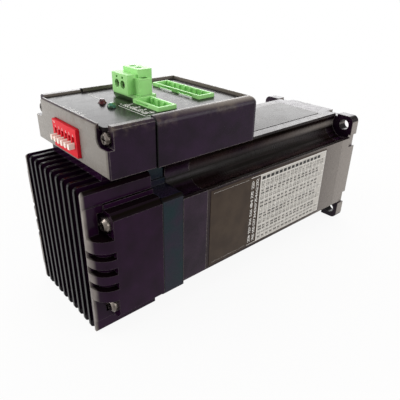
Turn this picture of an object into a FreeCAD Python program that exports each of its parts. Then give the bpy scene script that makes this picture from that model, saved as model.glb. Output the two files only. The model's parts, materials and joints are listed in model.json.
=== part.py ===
"""Integrated closed-loop stepper motor, 57 mm frame, with its driver box and finned heat sink.

Frame: X runs along the motor shaft and points out of the mounting face, Z is up (the driver box
stands on top), Y is to the left. The origin is where the shaft axis meets the mounting face.
Every size is in millimetres and is a cell of the spreadsheet "Sizes".
"""
import FreeCAD, Part
import os
import Sketcher

V = FreeCAD.Vector
doc = FreeCAD.newDocument("integrated_stepper")
sheet = doc.addObject("Spreadsheet::Sheet", "Sizes")

SIZES = [
    # the two main sizes: the stack and the box take up what the other pieces leave
    ("overall_length", 168.0, "rear of the heat sink to the tip of the shaft"),
    ("overall_height", 85.3, "underside of the frame to the top of the plug"),
    # frame of the motor: what the mounting flange, the stack and the end bells share
    ("frame_side", 56.4, "side of the square frame"),
    ("hole_pitch", 47.14, "spacing of the four mounting holes"),
    ("hole_radius", 2.5, "radius of a mounting hole"),
    ("scallop_radius", 6.5, "radius of the corner scallops, round the hole axes"),
    ("edge_bevel", 1.2, "bevel along each flat of the frame"),
    ("flange_thickness", 5.0, "thickness of the mounting flange"),
    ("flange_corner", 3.0, "corner radius of the flange"),
    ("relief_inner", 13.0, "edge reliefs of the flange start here, from the middle of a side"),
    ("relief_outer", 19.2, "and end here"),
    ("relief_depth", 1.2, "depth of the edge reliefs"),
    # lengths along the shaft
    ("front_bell_length", 11.5, "front end bell, flange included"),
    ("rear_bell_length", 11.5, "rear end bell"),
    ("band_length", 9.2, "encoder housing"),
    ("sink_length", 25.8, "heat sink"),
    ("pilot_radius", 19.05, "centring pilot on the mounting face"),
    ("pilot_height", 1.6, "height of the pilot"),
    # bearings and shaft
    ("shaft_radius", 4.0, "output shaft"),
    ("seat_radius", 4.5, "bearing seats of the shaft"),
    ("shaft_reach", 21.0, "shaft beyond the mounting face"),
    ("shaft_body_radius", 5.0, "thicker middle of the shaft, between the bearings"),
    ("flat_length", 15.0, "length of the flat on the shaft"),
    ("flat_depth", 0.5, "depth of the flat"),
    ("encoder_shaft_radius", 3.0, "thin rear end of the shaft"),
    ("encoder_shaft_length", 6.5, "rear end of the shaft, past the rear bearing"),
    ("bearing_radius", 11.0, "outside of a bearing"),
    ("bearing_width", 7.0, "width of a bearing"),
    ("bearing_inset", 2.5, "front bearing behind the mounting face"),
    ("race_wall", 2.1, "thickness of a bearing race"),
    ("ball_radius", 1.9, "radius of a ball"),
    ("ball_count", 7, "balls in a bearing"),
    ("ball_clearance", 0.08, "running clearance of a ball in its grooves"),
    ("bearing_boss", 2.0, "wall of the boss round a bearing"),
    ("shaft_clearance", 1.5, "radial room round the shaft in the end bells"),
    ("washer_thickness", 0.8, "preload washer behind the rear bearing"),
    # stator
    ("winding_radius", 21.6, "outside of the winding space"),
    ("winding_room", 5.0, "depth of the winding space in each end bell"),
    ("pole_count", 8, "stator poles"),
    ("pole_width", 6.5, "width of a pole neck"),
    ("shoe_radius", 18.2, "outside of the pole shoes"),
    ("slot_opening", 3.4, "gap between two pole shoes"),
    ("slot_crown", 0.15, "rise of a slot's outer edge in the middle"),
    ("tooth_pitch", 7.2, "angle between two teeth, degrees"),
    ("tooth_gap", 1.05, "width of the gap between two teeth"),
    ("tooth_depth", 0.8, "height of a tooth"),
    ("air_gap", 0.3, "gap between rotor and stator teeth"),
    ("coil_clearance", 0.3, "room between a coil and the iron"),
    ("coil_width", 2.9, "width of a coil side"),
    ("coil_height", 2.2, "radial height of a coil"),
    ("insulator_thickness", 0.9, "end insulators on the stack"),
    ("tie_circle", 24.0, "circle of the four tie screws"),
    ("tie_radius", 1.5, "radius of a tie screw"),
    ("screw_clearance", 0.1, "radial room round a screw"),
    ("tie_head_radius", 2.35, "head of a tie screw"),
    ("tie_head_height", 2.4, "height of that head"),
    # rotor
    ("rotor_radius", 15.5, "outside of the rotor teeth"),
    ("rotor_teeth", 50, "teeth on a rotor cup"),
    ("rotor_margin", 4.5, "rotor inside each end of the stack"),
    ("magnet_radius", 13.5, "rotor magnet"),
    ("magnet_length", 4.0, "length of the rotor magnet"),
    # encoder and power stage
    ("board_radius", 19.2, "encoder board"),
    ("board_thickness", 1.2, "encoder and power boards"),
    ("board_clearance", 0.3, "room between a board and what it sits on or in"),
    ("reader_size", 6.0, "optical reader on the encoder board"),
    ("disc_radius", 14.0, "encoder disc"),
    ("disc_thickness", 0.6, "encoder disc"),
    ("hub_radius", 5.0, "hub of the encoder disc"),
    ("hub_length", 1.8, "hub of the encoder disc"),
    ("disc_gap", 0.7, "between the encoder board and the disc"),
    ("power_board_radius", 20.6, "power board"),
    ("transistor_height", 1.6, "power transistors"),
    ("transistor_width", 5.0, "power transistors"),
    ("transistor_length", 6.0, "power transistors"),
    ("transistor_inset", 3.5, "from the edge of the power board to the transistors"),
    ("pad_margin", 1.0, "from the edge of the power board to the thermal pad"),
    ("pad_width", 11.0, "width of the ring of the thermal pad"),
    ("pad_thickness", 0.5, "thermal pad"),
    # corner notches of the encoder housing and the heat sink
    ("band_notch_wall", 16.5, "inner wall of the housing's corner notches"),
    ("sink_notch_wall", 21.8, "inner wall of the heat sink's corner notches"),
    ("notch_ledge", 22.6, "height of the ledge in a notch"),
    ("notch_step", 1.1, "width of the ledge"),
    ("notch_floor", 20.4, "floor of the housing's notches"),
    ("sink_notch_floor", 20.9, "floor of the heat sink's notches"),
    ("sink_notch_bevel", 2.0, "bevel below the heat sink's notches"),
    # heat sink
    ("fin_count", 10, "gaps between the fins and the side bars"),
    ("fin_pitch", 4.25, "spacing of the fins"),
    ("fin_thickness", 1.25, "thickness of a fin"),
    ("fin_depth", 15.0, "length of the fins along the shaft axis"),
    ("sink_corner", 7.2, "plan radius of the side bars"),
    ("sink_round", 1.4, "rounding of the upper and lower rear edges"),
    ("vent_depth", 2.6, "depth of the three slots in a side bar"),
    ("vent_height", 2.8, "height of a slot"),
    ("vent_pitch", 6.1, "spacing of the slots"),
    ("sink_screw_side", 24.0, "heat sink screws, from the middle sideways"),
    ("sink_screw_height", 16.2, "heat sink screws, from the middle up"),
    ("sink_screw_radius", 1.5, "heat sink screw"),
    ("sink_head_radius", 2.9, "head of that screw"),
    ("sink_head_height", 2.0, "height of that head"),
    ("recess_radius", 4.1, "recess round a screw head"),
    ("recess_depth", 6.8, "depth of that recess"),
    ("recess_top", 18.4, "upper edge of the recess where it opens sideways"),
    ("pedestal_width", 36.0, "raised seat for the driver box"),
    # driver box
    ("box_lift", 3.2, "driver box above the top of the motor"),
    ("box_width", 52.6, "front body of the box"),
    ("box_length", 47.4, "front body of the box"),
    ("box_corner", 3.0, "edge radius of the front body"),
    ("box_wall", 2.2, "wall of the box"),
    ("cover_width", 51.6, "rear cover of the box"),
    ("cover_length", 17.8, "rear cover of the box"),
    ("cover_drop", 0.4, "rim of the rear cover below the rim of the body"),
    ("cover_bevel", 0.8, "bevel of the rear cover"),
    ("cover_wall", 1.8, "rear wall of the cover"),
    ("foot_length", 36.0, "foot of the box on the motor"),
    ("foot_width", 30.0, "foot of the box on the motor"),
    ("foot_inset", 4.0, "from the seam of the box to its foot"),
    ("board_height", 6.1, "control board above the underside of the box"),
    ("control_board_thickness", 1.6, "control board"),
    ("board_rear_gap", 6.0, "from the rear wall of the box to the control board"),
    ("board_front_gap", 1.0, "from the front wall of the box to the control board"),
    ("chip_size", 6.0, "larger components of the control board"),
    ("chip_height", 2.2, "larger components of the control board"),
    ("roof_thickness", 2.0, "roof of the box under the top panel"),
    ("rim_height", 2.4, "rim of the box above the seat of the top panel"),
    ("panel_thickness", 1.2, "top panel"),
    ("panel_width", 45.2, "top panel"),
    ("panel_margin", 1.3, "from the rear of the box to the panel"),
    ("panel_front_margin", 2.9, "from the panel to the front of the box"),
    ("panel_gap", 0.3, "gap round the panel"),
    ("post_side", 22.4, "box screws, from the middle sideways"),
    ("post_drop", 4.7, "box screws, below the rim"),
    ("post_room", 3.1, "half the width of a screw post"),
    ("box_screw_radius", 1.2, "box screw"),
    ("box_head_radius", 2.2, "head of a box screw"),
    ("box_head_height", 1.6, "height of that head"),
    ("box_screw_length", 24.0, "length of a box screw"),
    ("corner_recess", 2.6, "depth of the cover's corner recess"),
    # switch block
    ("switch_length", 17.2, "body of the six-way switch"),
    ("switch_height", 9.6, "body of the six-way switch"),
    ("switch_depth", 5.6, "body of the six-way switch"),
    ("switch_proud", 1.2, "how far the body stands out of the cover"),
    ("switch_rise", 7.1, "middle of the switch above the underside of the box"),
    ("switch_board_width", 26.0, "small board behind the switch"),
    ("switch_pitch", 2.54, "spacing of the levers"),
    ("switch_count", 6, "levers"),
    ("lever_width", 1.2, "width of a lever"),
    ("lever_height", 1.8, "height of a lever"),
    ("lever_travel", 2.0, "travel of a lever"),
    ("lever_proud", 2.0, "lever beyond the switch face"),
    ("lever_clearance", 0.15, "room round a lever"),
    ("lever_foot", 1.2, "thickness of the lever's foot inside the body"),
    # status lights
    ("light_radius", 1.5, "status light"),
    ("light_side", 3.2, "status lights, from the middle sideways"),
    ("light_back", 2.3, "status lights behind the seam of the box"),
    ("light_proud", 0.3, "top of a status light above the rim"),
    ("light_flange", 0.4, "flange of a status light beyond its dome"),
    # terminals
    ("header_width", 7.7, "terminal headers, along the shaft axis"),
    ("header_wall", 0.85, "wall of a header"),
    ("header_proud", 0.1, "headers above the rim of the box"),
    ("header_floor", 1.5, "floor of a header"),
    ("signal_pitch", 3.5, "pole spacing of the signal headers"),
    ("signal_margin", 1.3, "header length beyond its poles"),
    ("short_pole_count", 4, "poles of the short signal header"),
    ("long_pole_count", 8, "poles of the long signal header"),
    ("short_place", 10.6, "short header before the seam of the box"),
    ("short_side", 10.1, "middle of the short header, to the right"),
    ("long_place", 32.4, "long header before the seam of the box"),
    ("long_side", 1.6, "middle of the long header, to the left"),
    ("pin_radius", 0.5, "header pins"),
    ("pin_height", 4.8, "header pins above the board"),
    ("pin_place", 0.6, "header pins behind the middle of the header"),
    ("rib_width", 0.9, "rib at each pole of a header"),
    ("rib_depth", 0.7, "how far a rib stands out"),
    ("latch_height", 0.8, "latch window of a header"),
    ("power_pitch", 3.81, "pole spacing of the power plug"),
    ("power_place", 14.0, "power header before the seam of the box"),
    ("power_side", 7.7, "middle of the power header, to the left"),
    ("power_length", 17.6, "power header, across the shaft axis"),
    ("tongue_length", 9.0, "plug tongue inside the header"),
    ("plug_clearance", 0.2, "room round the plug tongue"),
    ("plug_travel", 10.0, "travel that takes the plug off its header"),
    ("plug_block_height", 7.2, "top of the plug's clamp block above the rim of the box"),
    ("plug_entry_height", 8.9, "top of the plug's wire entry above the rim of the box"),
    ("plug_ear_height", 6.0, "top of the plug's screw ears above the rim of the box"),
    ("entry_depth", 6.0, "wire entry, along the shaft axis"),
    ("entry_inset", 2.8, "wire entry, from the right end of the plug"),
    ("entry_length", 9.9, "wire entry, across the shaft axis"),
    ("entry_radius", 1.3, "wire holes"),
    ("ear_screw_radius", 0.85, "ear screw"),
    ("ear_head_radius", 1.35, "head of an ear screw"),
    ("ear_head_height", 1.6, "height of that head"),
    ("ear_screw_length", 5.0, "length of an ear screw under its head"),
    ("ear_floor", 1.4, "plug under the head of an ear screw"),
    ("plug_block_length", 10.6, "plug's clamp block, across the shaft axis"),
    ("plug_front", 6.1, "clamp block behind the middle of the header"),
    ("plug_back", 4.1, "wire entry before the middle of the header"),
    ("ear_rear", 3.3, "screw ears behind the middle of the header"),
    ("ear_front", 2.1, "and before it"),
    ("ear_hole_inset", 2.3, "ear screws, from the ends of the plug"),
    ("clamp_rise", 3.4, "clamp screws above the rim of the box"),
    ("clamp_half_height", 2.6, "half the height of a clamp pocket"),
    ("clamp_screw_length", 4.9, "clamp screw with its head"),
    ("clamp_head_height", 1.4, "height of that head"),
    ("clamp_head_sink", 0.9, "head of a clamp screw inside the plug's rear face"),
    ("clamp_screw_radius", 0.9, "clamp screw"),
    ("clamp_head_radius", 1.35, "head of a clamp screw"),
    ("clamp_room", 1.45, "half the width of a clamp pocket"),
    ("cage_travel", 1.0, "travel of a clamp cage"),
    # labels
    ("label_thickness", 0.15, "thickness of a label"),
    ("side_label_height", 33.6, "label on the side of the stack"),
    ("side_label_margin", 1.5, "from the rear end of the stack"),
    ("side_label_front", 13.5, "from the front end of the stack"),
    ("top_label_width", 25.6, "label on the top of the stack"),
    ("top_label_margin", 1.0, "from the front end of the stack"),
]


def fill_sheet():
    """Writes every size, its name and its meaning into the spreadsheet."""
    for row, (alias, value, meaning) in enumerate(SIZES, start=1):
        sheet.set("A%d" % row, meaning)
        sheet.set("B%d" % row, str(value))
        sheet.setAlias("B%d" % row, alias)
    doc.recompute()


def sized(text):
    """Turns the aliases in a formula into references to the sheet."""
    for alias in sorted((entry[0] for entry in SIZES), key=len, reverse=True):
        text = text.replace("$" + alias, "Sizes." + alias)
    return text


def value_of(text):
    """The number that a formula gives now."""
    result = sheet.evalExpression(sized(text))
    return float(getattr(result, "Value", result))


def minus(text):
    return "-(" + text + ")"


def signed(text, sign):
    return text if sign > 0 else minus(text)


# Formulas that several sub-parts share. X stations are negative: they lie behind the mounting face.
HALF = "$frame_side / 2"
HOLE = "$hole_pitch / 2"
SINK_REAR = "($shaft_reach - $overall_length)"
BAND_REAR = "($shaft_reach - $overall_length + $sink_length)"
BELL_REAR = "($shaft_reach - $overall_length + $sink_length + $band_length)"
STACK_REAR = "($shaft_reach - $overall_length + $sink_length + $band_length + $rear_bell_length)"
STACK_FRONT = "(-$front_bell_length)"
STACK_LENGTH = "(" + STACK_FRONT + " - " + STACK_REAR + ")"
CUP_LENGTH = "((" + STACK_LENGTH + " - $magnet_length) / 2 - $rotor_margin)"
SEAM = BAND_REAR
BOX_FRONT = "(" + SEAM + " + $box_length)"
COVER_REAR = "(" + SEAM + " - $cover_length)"
BORE = "($rotor_radius + $air_gap)"
POLE_ANGLE = "(180 deg / $pole_count)"
REAR_BEARING = "(" + BELL_REAR + " + $bearing_inset + $bearing_width)"
TIE_SIDE = "($tie_circle * sqrt(0.5))"

# Levels of the driver box and what it carries, above the shaft axis.
BOX_FLOOR = "(" + HALF + " + $box_lift)"
BOX_TOP = "($overall_height - $plug_entry_height - " + HALF + ")"
COVER_TOP = "(" + BOX_TOP + " - $cover_drop)"
PANEL_SEAT = "(" + BOX_TOP + " - $rim_height)"
CEILING = "(" + PANEL_SEAT + " - $roof_thickness)"
BOARD_LEVEL = "(" + BOX_FLOOR + " + $board_height)"
BOARD_TOP = "(" + BOARD_LEVEL + " + $control_board_thickness)"
POST_LEVEL = "(" + BOX_TOP + " - $post_drop)"
SWITCH_LEVEL = "(" + BOX_FLOOR + " + $switch_rise)"
LIGHT_TOP = "(" + BOX_TOP + " + $light_proud)"
HEADER_TOP = "(" + BOX_TOP + " + $header_proud)"
PIN_TOP = "(" + BOARD_TOP + " + $pin_height)"
CLAMP_LEVEL = "(" + BOX_TOP + " + $clamp_rise)"


# Sketches -----------------------------------------------------------------------------------------

def body_plane(body, role):
    for feature in body.Origin.OriginFeatures:
        if feature.Role == role:
            return feature
    raise ValueError(role)


def new_body(name):
    """A PartDesign body that may hold several equal solids, such as a set of screws."""
    body = doc.addObject("PartDesign::Body", name)
    body.Label = name
    if hasattr(body, "AllowCompound"):
        body.AllowCompound = True
    return body


def new_sketch(body, name, role, offset="0"):
    """A sketch on one of the body's own planes, moved along the plane's normal.

    On YZ_Plane the sketch axes are Y and Z and the normal is +X; on XZ_Plane they are X and Z and
    the normal is -Y; on XY_Plane they are X and Y and the normal is +Z.
    """
    sketch = body.newObject("Sketcher::SketchObject", body.Label + "_" + name)
    sketch.AttachmentSupport = (body_plane(body, role), "")
    sketch.MapMode = "FlatFace"
    sketch.setExpression("AttachmentOffset.Base.z", sized(offset))
    return sketch


def dimension(sketch, kind, *where, size):
    index = sketch.addConstraint(Sketcher.Constraint(kind, *where, value_of(size)))
    sketch.setExpression("Constraints[%d]" % index, sized(size))


def place_point(sketch, geometry, end, across, up):
    dimension(sketch, "DistanceX", -1, 1, geometry, end, size=across)
    dimension(sketch, "DistanceY", -1, 1, geometry, end, size=up)


def polygon(sketch, corners):
    """A closed outline of straight lines through corners given by formulas."""
    points = [V(value_of(across), value_of(up), 0) for across, up in corners]
    count = len(points)
    lines = [sketch.addGeometry(Part.LineSegment(points[i], points[(i + 1) % count])) for i in range(count)]
    for i in range(count):
        sketch.addConstraint(Sketcher.Constraint("Coincident", lines[i], 2, lines[(i + 1) % count], 1))
    for line, (across, up) in zip(lines, corners):
        place_point(sketch, line, 1, across, up)


def rectangle(sketch, left, right, low, high):
    polygon(sketch, [(left, low), (right, low), (right, high), (left, high)])


def circle(sketch, across, up, radius):
    geometry = sketch.addGeometry(Part.Circle(V(value_of(across), value_of(up), 0), V(0, 0, 1), value_of(radius)))
    place_point(sketch, geometry, 3, across, up)
    dimension(sketch, "Radius", geometry, size=radius)


def axis_line(sketch, up):
    """A construction line along the sketch's first axis, at a height: the axis of a turned piece."""
    level = value_of(up)
    line = sketch.addGeometry(Part.LineSegment(V(0, level, 0), V(1, level, 0)), True)
    place_point(sketch, line, 1, "0", up)
    place_point(sketch, line, 2, "1", up)


def four_corners(draw):
    """Calls draw once for each corner of the frame, with the signs of Y and Z."""
    for side in (1, -1):
        for height in (1, -1):
            draw(side, height)


# Features -----------------------------------------------------------------------------------------

def add_feature(body, kind, name, sketch):
    feature = body.newObject("PartDesign::" + kind, body.Label + "_" + name)
    feature.Profile = sketch
    return feature


def pad(body, name, sketch, length, backwards=False):
    feature = add_feature(body, "Pad", name, sketch)
    feature.setExpression("Length", sized(length))
    feature.Reversed = backwards
    return feature


def volume_now(body):
    return body.Shape.Volume


def pocket(body, name, sketch, depth, along_normal=False):
    """Cuts from the sketch plane against its normal, or along it, and proves that it removed material."""
    doc.recompute()
    before = volume_now(body)
    feature = add_feature(body, "Pocket", name, sketch)
    feature.setExpression("Length", sized(depth))
    feature.Reversed = along_normal
    doc.recompute()
    if volume_now(body) >= before:
        raise ValueError(feature.Name + " cuts nothing")
    return feature


def turn(body, name, sketch, axis="H_Axis"):
    feature = add_feature(body, "Revolution", name, sketch)
    feature.ReferenceAxis = (sketch, [axis])
    feature.Angle = 360.0
    return feature


def polar(body, name, features, count):
    """Repeats features round the shaft axis."""
    pattern = body.newObject("PartDesign::PolarPattern", body.Label + "_" + name)
    pattern.Originals = features
    pattern.Axis = (body_plane(body, "X_Axis"), [""])
    pattern.Angle = 360.0
    pattern.setExpression("Occurrences", sized(count))
    body.Tip = pattern
    return pattern


def row(body, name, features, role, count, span):
    """Repeats features along one of the body's axes, the last one a span away from the first."""
    pattern = body.newObject("PartDesign::LinearPattern", body.Label + "_" + name)
    pattern.Originals = features
    pattern.Direction = (body_plane(body, role), [""])
    pattern.setExpression("Length", sized(span))
    pattern.setExpression("Occurrences", sized(count))
    body.Tip = pattern
    return pattern


def dress(body, kind, name, size, wanted):
    """A fillet or chamfer on the edges that the test accepts."""
    doc.recompute()
    base = body.Tip
    names = ["Edge%d" % (i + 1) for i, edge in enumerate(base.Shape.Edges) if wanted(edge)]
    if not names:
        raise ValueError(body.Label + "_" + name + " finds no edge")
    feature = body.newObject("PartDesign::" + kind, body.Label + "_" + name)
    feature.Base = (base, names)
    feature.setExpression("Radius" if kind == "Fillet" else "Size", sized(size))
    body.Tip = feature
    return feature


def runs_along(edge, direction):
    """True for a straight edge parallel to a direction."""
    if edge.Curve.TypeId != "Part::GeomLine":
        return False
    return abs(abs(edge.Curve.Direction.dot(direction)) - 1) < 1e-6


def near(a, b):
    return abs(a - b) < 1e-3


# Shared shapes ------------------------------------------------------------------------------------

def square_section(sketch, half):
    rectangle(sketch, minus(half), half, minus(half), half)


def scallop_corners(body, start, length):
    """Cuts the four concave corners along the frame and bevels the edges that they leave."""
    sketch = new_sketch(body, "scallops", "YZ_Plane", start)

    def scallop(side, height):
        circle(sketch, signed(HOLE, side), signed(HOLE, height), "$scallop_radius")

    four_corners(scallop)
    corner = new_sketch(body, "corner_tips", "YZ_Plane", start)
    reach = HOLE + " + $scallop_radius"

    def tip(side, height):
        rectangle(corner, signed(HOLE, side), signed(reach, side), signed(HOLE, height), signed(reach, height))

    four_corners(tip)
    pocket(body, "corner_tip_cut", corner, length)
    pocket(body, "scallop_cut", sketch, length)
    half = value_of(HALF)
    front = value_of(start)

    def is_flat_edge(edge):
        if not runs_along(edge, V(1, 0, 0)):
            return False
        middle = edge.CenterOfMass
        return middle.x < front and (near(abs(middle.y), half) or near(abs(middle.z), half))

    dress(body, "Chamfer", "bevel", "$edge_bevel", is_flat_edge)


def corner_notches(body, start, length, wall, floor, bevel):
    """Cuts stepped notches along the four corners: a wall, a ledge, a floor and a bevelled edge."""
    sketch = new_sketch(body, "notches", "YZ_Plane", start)
    out = "(" + HALF + " + 1)"

    def notch(side, height):
        corners = [
            (wall + " - $edge_bevel - 1", out),
            (wall, HALF + " - $edge_bevel"),
            (wall, "$notch_ledge"),
            (wall + " + $notch_step", "$notch_ledge"),
            (wall + " + $notch_step", floor),
            (HALF + " - " + bevel, floor),
            (out, floor + " - " + bevel + " - 1"),
            (out, out),
        ]
        polygon(sketch, [(signed(across, side), signed(up, height)) for across, up in corners])

    four_corners(notch)
    pocket(body, "notch_cut", sketch, length)


def slot_outline(sketch, inner, shoe, outer):
    """One winding slot on top of the axis: narrow between the shoes, wide between the pole necks."""
    corners = []
    for side in (-1, 1):
        opening = [("$slot_opening / 2", inner), ("$slot_opening / 2", shoe)]
        neck = []
        for radius in (shoe, outer):
            across = "{r} * sin({a}) - $pole_width / 2 * cos({a})".format(r=radius, a=POLE_ANGLE)
            up = "{r} * cos({a}) + $pole_width / 2 * sin({a})".format(r=radius, a=POLE_ANGLE)
            neck.append((across, up))
        neck.append(("$slot_opening / 2 + 0.7", outer + " + $slot_crown"))
        half = [(signed(across, side), up) for across, up in opening + neck]
        corners += half if side < 0 else half[::-1]
    polygon(sketch, corners)


def tie_holes(body, start, depth, radius, name="tie_holes"):
    sketch = new_sketch(body, name, "YZ_Plane", start)

    def hole(side, height):
        circle(sketch, signed(TIE_SIDE, side), signed(TIE_SIDE, height), radius)

    four_corners(hole)
    pocket(body, name + "_cut", sketch, depth)


def ring_profile(sketch, front, rear, inner, outer):
    """A ring's section over the axis: turned round it, it makes a tube or a washer."""
    rectangle(sketch, rear, front, inner, outer)


def turned_ring(name, front, rear, inner, outer):
    body = new_body(name)
    sketch = new_sketch(body, "section", "XZ_Plane")
    ring_profile(sketch, front, rear, inner, outer)
    turn(body, "turned", sketch)
    return body


def winding_space(body, mouth, into_front):
    """The annular room for the end windings and the bore of the bearing seat, cut from the mouth."""
    sketch = new_sketch(body, "winding_space", "YZ_Plane", mouth)
    circle(sketch, "0", "0", "$winding_radius + $coil_clearance")
    circle(sketch, "0", "0", "$bearing_radius + $bearing_boss")
    pocket(body, "winding_space_cut", sketch, "$winding_room", along_normal=into_front)


def bearing_seat(body, mouth, depth, into_front):
    sketch = new_sketch(body, "bearing_seat", "YZ_Plane", mouth)
    circle(sketch, "0", "0", "$bearing_radius")
    pocket(body, "bearing_seat_cut", sketch, depth, along_normal=into_front)


# Motor --------------------------------------------------------------------------------------------

def front_end_bell():
    """Die-cast mounting flange, pilot, bearing seat and winding space."""
    body = new_body("front_end_bell")
    section = new_sketch(body, "section", "YZ_Plane")
    square_section(section, HALF)
    pad(body, "block", section, "$front_bell_length", backwards=True)
    half = value_of(HALF)

    def is_corner(edge):
        return runs_along(edge, V(1, 0, 0)) and near(abs(edge.CenterOfMass.y), half)

    dress(body, "Fillet", "corners", "$flange_corner", is_corner)
    scallop_corners(body, "-$flange_thickness", "$front_bell_length")
    reliefs = new_sketch(body, "reliefs", "YZ_Plane")
    for side in (1, -1):
        inner = signed("$relief_inner", side)
        outer = signed("$relief_outer", side)
        rectangle(reliefs, inner, outer, HALF + " - $relief_depth", HALF + " + 1")
    cut = pocket(body, "relief_cut", reliefs, "$flange_thickness")
    polar(body, "relief_sides", [cut], "4")
    pilot = new_sketch(body, "pilot", "YZ_Plane")
    circle(pilot, "0", "0", "$pilot_radius")
    pad(body, "pilot_boss", pilot, "$pilot_height")
    holes = new_sketch(body, "holes", "YZ_Plane")

    def hole(side, height):
        circle(holes, signed(HOLE, side), signed(HOLE, height), "$hole_radius")

    four_corners(hole)
    pocket(body, "hole_cut", holes, "$flange_thickness")
    bore = new_sketch(body, "bore", "YZ_Plane", "$pilot_height")
    circle(bore, "0", "0", "$shaft_radius + $shaft_clearance")
    pocket(body, "bore_cut", bore, "$pilot_height + $front_bell_length")
    bearing_seat(body, STACK_FRONT, "$front_bell_length - $bearing_inset", into_front=True)
    winding_space(body, STACK_FRONT, into_front=True)
    tie_holes(body, "-$flange_thickness", "$front_bell_length", "$tie_radius")
    return body


def stator_stack():
    """Laminated stack: scalloped outside, eight poles with five small teeth each inside."""
    body = new_body("stator_stack")
    section = new_sketch(body, "section", "YZ_Plane", STACK_FRONT)
    square_section(section, HALF)
    pad(body, "block", section, STACK_LENGTH, backwards=True)
    scallop_corners(body, STACK_FRONT, STACK_LENGTH)
    bore = new_sketch(body, "bore", "YZ_Plane", STACK_FRONT)
    circle(bore, "0", "0", BORE)
    pocket(body, "bore_cut", bore, STACK_LENGTH)
    slots = new_sketch(body, "slots", "YZ_Plane", STACK_FRONT)
    slot_outline(slots, BORE + " - 1", "$shoe_radius", "$winding_radius")
    slot = pocket(body, "slot_cut", slots, STACK_LENGTH)
    gaps = new_sketch(body, "tooth_gaps", "YZ_Plane", STACK_FRONT)
    for step in (-1.5, -0.5, 0.5, 1.5):
        tooth_gap(gaps, "(%s + %s * $tooth_pitch * 1 deg)" % (POLE_ANGLE, step), BORE, 1)
    teeth = pocket(body, "tooth_cut", gaps, STACK_LENGTH)
    polar(body, "poles", [slot, teeth], "$pole_count")
    tie_holes(body, STACK_FRONT, STACK_LENGTH, "$tie_radius + $screw_clearance")
    return body


def tooth_gap(sketch, angle, radius, outward):
    """A small rectangular gap at an angle from the top, cut outwards or inwards from a radius."""
    near_edge = "(%s - %s * 0.3)" % (radius, outward)
    far_edge = "(%s + %s * $tooth_depth)" % (radius, outward)
    corners = []
    for edge, side in ((near_edge, -1), (near_edge, 1), (far_edge, 1), (far_edge, -1)):
        across = "{e} * sin({a}) + {s} * $tooth_gap / 2 * cos({a})".format(e=edge, a=angle, s=side)
        up = "{e} * cos({a}) - {s} * $tooth_gap / 2 * sin({a})".format(e=edge, a=angle, s=side)
        corners.append((across, up))
    polygon(sketch, corners)


def insulator(name, front):
    """Plastic end insulator: a ring on the pole shoes with a finger over each pole neck."""
    body = new_body(name)
    section = new_sketch(body, "section", "YZ_Plane", front)
    circle(section, "0", "0", "$winding_radius - $coil_clearance")
    circle(section, "0", "0", BORE + " + $tooth_depth")
    pad(body, "ring", section, "$insulator_thickness", backwards=True)
    windows = new_sketch(body, "windows", "YZ_Plane", front)
    slot_outline(windows, "$shoe_radius - 0.5", "$shoe_radius", "$winding_radius + 2")
    window = pocket(body, "window_cut", windows, "$insulator_thickness")
    polar(body, "windows_round", [window], "$pole_count")
    return body


def phase_coils(name, turned_by):
    """Four coils of one phase, each wound round its pole neck."""
    body = new_body(name)
    base = "$shoe_radius + $coil_clearance"
    inner_side = "$pole_width / 2 + $coil_clearance"
    outer_side = "$pole_width / 2 + $coil_clearance + $coil_width"
    front = STACK_FRONT + " + $insulator_thickness"
    rear = STACK_REAR + " - $insulator_thickness"
    sketch = new_sketch(body, "section", "XY_Plane", base)
    rectangle(sketch, rear + " - $coil_width", front + " + $coil_width", minus(outer_side), outer_side)
    rectangle(sketch, rear, front, minus(inner_side), inner_side)
    coil = pad(body, "coil", sketch, "$coil_height")
    outer = value_of(outer_side)

    def is_outer_corner(edge):
        return runs_along(edge, V(0, 0, 1)) and near(abs(edge.CenterOfMass.y), outer)

    doc.recompute()
    rounded = dress(body, "Fillet", "turns", "$coil_width * 0.6", is_outer_corner)
    polar(body, "poles", [coil, rounded], "$pole_count / 2")
    body.Placement = FreeCAD.Placement(V(0, 0, 0), FreeCAD.Rotation(V(1, 0, 0), 0))
    body.setExpression("Placement.Rotation.Axis.x", "1")
    body.setExpression("Placement.Rotation.Axis.y", "0")
    body.setExpression("Placement.Rotation.Axis.z", "0")
    body.setExpression("Placement.Rotation.Angle", sized(turned_by))
    return body


def rear_end_bell():
    """Die-cast rear end bell: bearing seat, preload washer seat, winding space and screw holes."""
    body = new_body("rear_end_bell")
    section = new_sketch(body, "section", "YZ_Plane", STACK_REAR)
    square_section(section, HALF)
    pad(body, "block", section, "$rear_bell_length", backwards=True)
    scallop_corners(body, STACK_REAR, "$rear_bell_length")
    bore = new_sketch(body, "bore", "YZ_Plane", STACK_REAR)
    circle(bore, "0", "0", "$shaft_radius + $shaft_clearance")
    pocket(body, "bore_cut", bore, "$rear_bell_length")
    bearing_seat(body, STACK_REAR, "$rear_bell_length - $bearing_inset + $washer_thickness", into_front=False)
    winding_space(body, STACK_REAR, into_front=False)
    tie_holes(body, STACK_REAR, "$rear_bell_length", "$tie_radius + $screw_clearance")
    return body


def tie_screws():
    """Four long screws that clamp housing, end bells and stack."""
    body = new_body("tie_screws")
    sketch = new_sketch(body, "section", "XZ_Plane", minus(TIE_SIDE))
    head_rear = BAND_REAR + " + 0.2"
    head_front = head_rear + " + $tie_head_height"
    tip = "-($flange_thickness + 0.5)"
    level = TIE_SIDE
    polygon(sketch, [
        (head_rear, level),
        (tip, level),
        (tip, level + " + $tie_radius"),
        (head_front, level + " + $tie_radius"),
        (head_front, level + " + $tie_head_radius"),
        (head_rear, level + " + $tie_head_radius"),
    ])
    axis_line(sketch, level)
    screw = turn(body, "screw", sketch, "Axis0")
    polar(body, "set", [screw], "4")
    return body


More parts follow.
